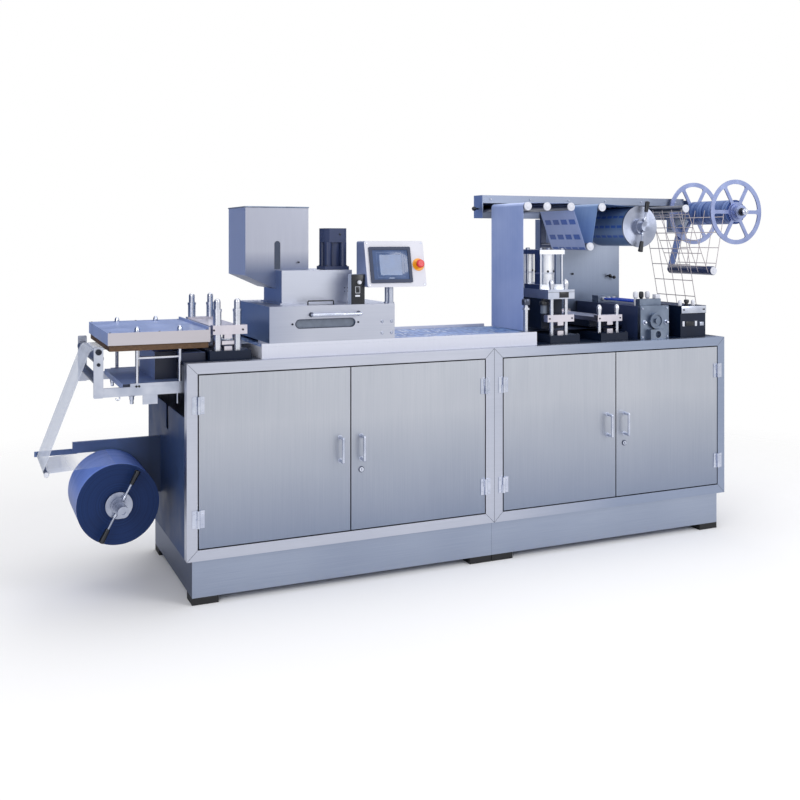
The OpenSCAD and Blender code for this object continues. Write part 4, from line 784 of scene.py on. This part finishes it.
# control panel: lit screen with plain fields, yellow disc behind the stop button, corner screws
panel = {"place": (855, 40, 1258), "tilt": 13, "screen": (-101, 55, -65, 57), "frames": [(30, 18, 20), (18, 10, 10)],
         "bar": (66, 4, 8), "button": (101, 0, -4), "disc": [(26, 0), (26, 1.4), (25, 2.2), (9.5, 2.4)],
         "screws": [(x, 0, z) for x in (-121, 121) for z in (-86, 86)],
         "screw": [(3.4, 0), (3.2, 1), (1.5, 1.4), (1.4, 0.5), (0, 0.5)]}
onPanel = Matrix.Translation(panel["place"]) @ Matrix.Rotation(math.radians(-panel["tilt"]), 4, "X")
left, right, low, high = panel["screen"]
mesh = bmesh.new()
addBox(mesh, (left, -3.6, low), (right, -2.8, high), 0.2)
setPiece(mesh, "screenGlass", "screen", "machine", onPanel)
mesh = bmesh.new()
side, below, above = panel["frames"][0]
addBox(mesh, (left + side, -3.75, low + below), (right - side, -3.5, high - above), 0)
side, below, above = panel["bar"]
addBox(mesh, (left + side, -3.75, low + below), (right - side, -3.5, low + above), 0)
setPiece(mesh, "screenFields", "screenField", "machine", onPanel)
mesh = bmesh.new()
for side, below, above in panel["frames"]:
    addFrame(mesh, rectangle(left + side, right - side, low + below, high - above), -3.6, 0.7, 6)
setPiece(mesh, "screenLines", "screenLine", "machine", onPanel)
setEach("stopButtonDisc", "yellowPlastic", [panel["button"]], frontWay, panel["disc"], 36, "machine", onPanel)
setEach("panelScrews", "chrome", panel["screws"], frontWay, panel["screw"], 16, "machine", onPanel)
print("feeder and panel details set")

# sealing station: painted shade as a black plate where the platen has a recess, a dark seam on the platen, ports and
# middle ring on the barrels, rod nuts
press = {"x": (1612, 1750), "front": 90, "top": 1134, "barrels": [(1681, 230), (1681, 410)], "barrelR": 45, "tie": 56,
         "recessX": (58, 107), "recessDrop": (36, 11), "seamDrop": (11.6, 10.2), "capTop": 1310,
         "ringZ": 1203, "portZ": 1212, "portOut": 43, "portTurns": (-65, 20, 66),
         "view": (-0.534, -0.846), "right": (0.846, -0.534), "nut": [(9, 0), (9, 7), (8, 8), (5, 8)],
         "port": [(5.5, 0), (5.5, 4), (4.6, 5), (2.4, 5), (2.2, 3), (0, 3)]}
front, top, (left, right) = press["front"], press["top"], press["x"]
mesh = bmesh.new()
(x0, x1), (deep, shallow) = press["recessX"], press["recessDrop"]
# painted shade: a thin black plate in front of the platen stands for its shaded recess
addBox(mesh, (left + x0, front - 1.2, top - deep), (left + x1, front + 0.3, top - shallow), 0.4)
deep, shallow = press["seamDrop"]
addBox(mesh, (left + 1, front - 0.3, top - deep), (right - 1, front + 0.3, top - shallow), 0)
for x, y in press["barrels"]:
    for a in [math.radians(turn) for turn in press["portTurns"]]:
        way = [f * math.cos(a) + s * math.sin(a) for f, s in zip(press["view"], press["right"])] + [0]
        spot = (x + way[0] * press["portOut"], y + way[1] * press["portOut"], press["portZ"])
        addTurned(mesh, spot, way, press["port"], 16)
setPiece(mesh, "sealingPorts", "blackPlastic")
r, tie = press["barrelR"], press["tie"]
ring = [(r - 0.5, -3.4), (r + 0.7, -3), (r + 0.7, 0), (r - 0.2, 0.3), (r - 0.2, 1.3), (r + 0.7, 1.6), (r + 0.7, 4.6),
        (r - 0.5, 5)]
mesh = bmesh.new()
for x, y in press["barrels"]:
    addTurned(mesh, (x, y, press["ringZ"]), upWay, ring, 40)
    ties = [(x + dx, y + dy, press["capTop"]) for dx in (-tie, tie) for dy in (-tie, tie)]
    addEach(mesh, ties, upWay, press["nut"], 6)
setPiece(mesh, "barrelRings", "alloy")

# draw station: acorn nuts and plate screws on the gearbox, stop knobs, collars on the air tubes
draw = {"nuts": [(2101, 48, 977), (2224, 48, 976)], "screws": [(x, 48, z) for x in (2090, 2228) for z in (911, 1041)],
        "knobs": [(x, 128, 1050) for x in (2111, 2144, 2179)], "tubeX": (2129, 2159, 2189), "tubeY": (110, 405),
        "tubeZ": 1067, "collar": [(9, 0), (9, 10), (7.5, 12), (5.2, 14)], "stop": ((2192, 84, 1082), (2218, 108, 1102)),
        "knob": [(7, 0), (7, 34), (11, 37), (11.6, 50), (10.5, 60), (7, 64), (0, 65)]}
mesh = bmesh.new()
addEach(mesh, draw["nuts"], frontWay, acornNut(7), 20)
addEach(mesh, draw["screws"], frontWay, capScrew(4.5))
setPiece(mesh, "gearboxNuts", "chrome")
setEach("drawKnobMiddle", "blackPlastic", draw["knobs"][1:2], upWay, draw["knob"], 24)
mesh = bmesh.new()
addEach(mesh, draw["knobs"][::2], upWay, draw["knob"], 24)
for x in draw["tubeX"]:
    for y, way in zip(draw["tubeY"], (backWay, frontWay)):
        addTurned(mesh, (x, y, draw["tubeZ"]), way, draw["collar"], 20)
addBox(mesh, *draw["stop"], 1.5)
setPiece(mesh, "drawKnobs", "whitePlastic")

# punch: bright head strip with screws, inserts, plate, knobs on top
punch = {"strip": ((2318.5, 53.6, 1011.5), (2462.5, 55.2, 1044.5)), "plate": ((2430, 58.6, 951), (2453, 60.2, 968)),
         "inserts": [((x - 6, 58.4, 950), (x + 6, 60.2, 974)) for x in (2334, 2407)],
         "slot": ((2346, 57, 952), (2395, 60.2, 972)),
         "screws": [(x, 53.6, 1028) for x in (2331, 2450)],
         "knobs": [(x, 76, 1046) for x in (2327, 2365, 2403)],
         "post": [(9, 0), (9, 18), (8, 23), (5, 26), (0, 27)],
         "knob": [(9, 0), (9, 6), (7, 7), (7, 12), (11.5, 14), (12, 24), (10, 28), (0, 28.5)]}
mesh = bmesh.new()
addBox(mesh, *punch["strip"], 0.5)
addBox(mesh, *punch["plate"], 0.5)
setPiece(mesh, "punchStrip", "alloy")
white, black = bmesh.new(), bmesh.new()
for ends in punch["inserts"]:
    addBox(white, *ends, 0.6)
addBox(black, *punch["slot"], 1)
addEach(white, punch["knobs"][::2], upWay, punch["post"], 24)
addTurned(black, punch["knobs"][1], upWay, punch["knob"], 24)
addEach(black, punch["screws"], frontWay, capScrew(4))
setPiece(white, "punchInserts", "whitePlastic")
setPiece(black, "punchFittings", "blackPlastic")
print("station details set")

# beam and column: knobs, pin, lip screws; white ends on the guide rollers; reel shaft; dancer end
overhead = {"knob": (1515, 558, 1504), "lips": [(1560 + 220 * i, 515, 1549) for i in range(6)],
            "columnKnobs": [(2271, 565, 1172), (2296, 565, 1164)], "pin": (2055, 565, 1184),
            "pinForm": [(5, 0), (5, 8), (3, 9), (0, 9)], "rollerY": 186,
            "rollers": [(1568, 1506), (1669, 1506), (1797, 1506), (1968, 1506), (2455, 1506), (1901, 1324)],
            "rollerEnd": [(18.5, -6), (18.7, -5.6), (18.7, 0.6), (17.6, 1.4), (13.4, 1.4), (13, 0.7), (10.4, 0.7),
                          (10, 2.4), (8.6, 3), (0, 3)],
            "hub": (2767, 148, 1493), "hubForm": [(19, 0), (19, 4), (17.2, 5), (17.2, 20), (16.2, 22)],
            "nose": (2767, 124, 1493),
            "noseForm": [(16.2, -1), (16.2, 4), (13, 8), (9, 8), (9, 14), (7, 15), (0, 15)],
            "dancer": (2625, 186, 1203), "dancerForm": [(19.4, -2), (19.4, 1), (18, 2), (8, 2), (7.5, 4), (0, 4)]}
mesh = bmesh.new()
addTurned(mesh, overhead["knob"], leftWay, ballKnob(11, 12), 24)
addEach(mesh, overhead["columnKnobs"], frontWay, ballKnob(9, 12), 24)
addTurned(mesh, overhead["pin"], frontWay, overhead["pinForm"], 16)
addTurned(mesh, overhead["hub"], frontWay, overhead["hubForm"])
setPiece(mesh, "overheadKnobs", "blackPlastic")
mesh = bmesh.new()
addEach(mesh, overhead["lips"], frontWay, capScrew(4.5))
addTurned(mesh, overhead["nose"], frontWay, overhead["noseForm"])
setPiece(mesh, "overheadScrews", "chrome")
setEach("guideRollerEnds", "whitePlastic", [(x, overhead["rollerY"], z) for x, z in overhead["rollers"]], frontWay,
        overhead["rollerEnd"], 32)
setEach("dancerEndCap", "whitePlastic", [overhead["dancer"]], frontWay, overhead["dancerForm"], 32)

# foil print: plain blue blocks on the slanting leg, under the low roller and round the foil roll
printLook = {"leg": ((1885.3, 1318.1), (1812.7, 1511.9)), "rows": ((0.2, 0.32), (0.56, 0.68)), "proud": 0.9,
             "legY": [(218 + 68 * i, 268 + 68 * i) for i in range(4)],
             "low": (1901, 1324), "lowR": 17.7, "lowTurns": (150, 236),
             "lowY": [(210 + 55 * i, 256 + 55 * i) for i in range(5)],
             "roll": (2186, 1417), "rollR": 92.12, "rollTurns": ((146, 154), (176, 184), (206, 214)),
             "rollY": [(212 + 46 * i, 248 + 46 * i) for i in range(6)]}


# curved patch round an axis along y, between two turns
def addWrap(mesh, centre, radius, turns, ends, steps=5):
    fromTurn, toTurn = turns
    angles = [math.radians(fromTurn + (toTurn - fromTurn) * i / steps) for i in range(steps + 1)]
    points = [(centre[0] + radius * math.cos(a), centre[1] + radius * math.sin(a)) for a in angles]
    lines = [[mesh.verts.new((x, y, z)) for y in ends] for x, z in points]
    for first, second in zip(lines, lines[1:]):
        mesh.faces.new([first[0], first[1], second[1], second[0]])


mesh = bmesh.new()
start, end = [Vector(point) for point in printLook["leg"]]
away = Vector((start.y - end.y, end.x - start.x)).normalized() * printLook["proud"]
for row in printLook["rows"]:
    low, high = [start.lerp(end, part) + away for part in row]
    for y0, y1 in printLook["legY"]:
        corners = ((low, y0), (low, y1), (high, y1), (high, y0))
        mesh.faces.new([mesh.verts.new((corner.x, y, corner.y)) for corner, y in corners])
for ends in printLook["lowY"]:
    addWrap(mesh, printLook["low"], printLook["lowR"], printLook["lowTurns"], ends)
setPiece(mesh, "foilPrint", "printInk")
mesh = bmesh.new()
for turns in printLook["rollTurns"]:
    for ends in printLook["rollY"]:
        addWrap(mesh, printLook["roll"], printLook["rollR"], turns, ends)
setPiece(mesh, "foilRollPrint", "printInk", "foil_reel")
print("overhead details set")

# camera at the photograph's place: level, turned towards the machine, with a lens shift downwards
cameraLook = {"place": (-780, -3669, 1359), "turn": 24.04, "lens": 45.0, "shift": -0.2013}
cameraData = bpy.data.cameras.new("studioCamera")
cameraData.lens = cameraLook["lens"]
cameraData.sensor_width = 36.0
cameraData.shift_y = cameraLook["shift"]
camera = bpy.data.objects.new("studioCamera", cameraData)
camera.location = at(*cameraLook["place"])
camera.rotation_euler = (math.radians(90), 0, math.radians(-cameraLook["turn"]))
bpy.context.scene.collection.objects.link(camera)
bpy.context.scene.camera = camera

# pale floor that fades out into the white surroundings
floorLook = {"radius": 9.0, "fadeFrom": 2.0, "fadeTo": 3.6, "colour": "#fafafc"}
floorMesh = bpy.data.meshes.new("studioFloor")
ring = [(floorLook["radius"] * math.cos(i * math.tau / 64), floorLook["radius"] * math.sin(i * math.tau / 64), 0)
        for i in range(64)]
floorMesh.from_pydata(ring, [], [list(range(64))])
floor = bpy.data.objects.new("studioFloor", floorMesh)
bpy.context.scene.collection.objects.link(floor)
floorMaterial, tree, place = startMaterial("paleStudioFloor")
distance = addNode(tree, "VectorMath", {0: place}, operation="LENGTH")["Value"]
fade = addNode(tree, "MapRange", {"Value": distance, 1: floorLook["fadeFrom"], 2: floorLook["fadeTo"]})[0]
matt = addNode(tree, "BsdfDiffuse", {"Color": toLinear(floorLook["colour"])})
clear = addNode(tree, "BsdfTransparent")
faded = addNode(tree, "MixShader", {0: fade, 1: matt[0], 2: clear[0]})
addNode(tree, "OutputMaterial", {0: faded[0]})
floorMesh.materials.append(floorMaterial)

# white surroundings: seen as white, and a plain level of light
worldLook = {"seen": 1.0, "light": 0.66}
world = bpy.data.worlds.new("studioWorld")
bpy.context.scene.world = world
world.use_nodes = True
tree = world.node_tree
tree.nodes.clear()
paths = addNode(tree, "LightPath")
seen = addNode(tree, "Math", {0: paths["Is Camera Ray"], 1: paths["Is Glossy Ray"]}, operation="MAXIMUM")[0]
seen = addNode(tree, "Math", {0: seen, 1: paths["Is Transmission Ray"]}, operation="MAXIMUM")[0]
level = addNode(tree, "MapRange", {"Value": seen, 3: worldLook["light"], 4: worldLook["seen"]})[0]
background = addNode(tree, "Background", {"Color": (1, 1, 1, 1), "Strength": level})
addNode(tree, "OutputWorld", {0: background[0]})

# soft lamps: name, place in metres, aim, size, watts
lamps = {
    "keyLamp": ((3.0, -4.8, 3.6), (0, 0, 0.8), 3.2, 130),
    "fillLamp": ((-4.0, -3.6, 2.6), (0, 0, 0.8), 3.0, 60),
    "topLamp": ((0.0, 0.5, 5.2), (0, 0, 0.8), 4.0, 60),
    "backLamp": ((1.0, 4.5, 3.2), (0, 0, 0.8), 3.0, 30),
}
for lampName, (spot, aim, size, watts) in lamps.items():
    lampData = bpy.data.lights.new(lampName, "AREA")
    lampData.shape = "DISK"
    lampData.size = size
    lampData.energy = watts
    lamp = bpy.data.objects.new(lampName, lampData)
    lamp.location = spot
    lamp.rotation_euler = (Vector(aim) - Vector(spot)).to_track_quat("-Z", "Y").to_euler()
    bpy.context.scene.collection.objects.link(lamp)
bpy.context.scene.view_settings.view_transform = "Standard"

# dark blue cards beside and behind the machine, seen only in reflections, where they shade bright metal
cards = {
    "leftCard": {"corners": [(-3.6, -2.0, 0.0), (-3.6, 8.0, 0.0), (-3.6, 8.0, 3.2), (-3.6, -2.0, 3.2)],
                 "colour": "#41557f", "level": 0.8},
    "backCard": {"corners": [(-8.0, 4.6, 0.0), (8.0, 4.6, 0.0), (8.0, 4.6, 3.0), (-8.0, 4.6, 3.0)],
                 "colour": "#7d8db8", "level": 0.8},
}
for cardName, look in cards.items():
    cardMesh = bpy.data.meshes.new(cardName)
    cardMesh.from_pydata(look["corners"], [], [(0, 1, 2, 3)])
    card = bpy.data.objects.new(cardName, cardMesh)
    bpy.context.scene.collection.objects.link(card)
    card.visible_camera = card.visible_diffuse = card.visible_transmission = card.visible_shadow = False
    cardMaterial, tree, place = startMaterial(cardName + "Paper")
    glow = addNode(tree, "Emission", {"Color": toLinear(look["colour"]), "Strength": look["level"]})
    addNode(tree, "OutputMaterial", {0: glow[0]})
    cardMesh.materials.append(cardMaterial)
print("camera, floor and lamps placed")
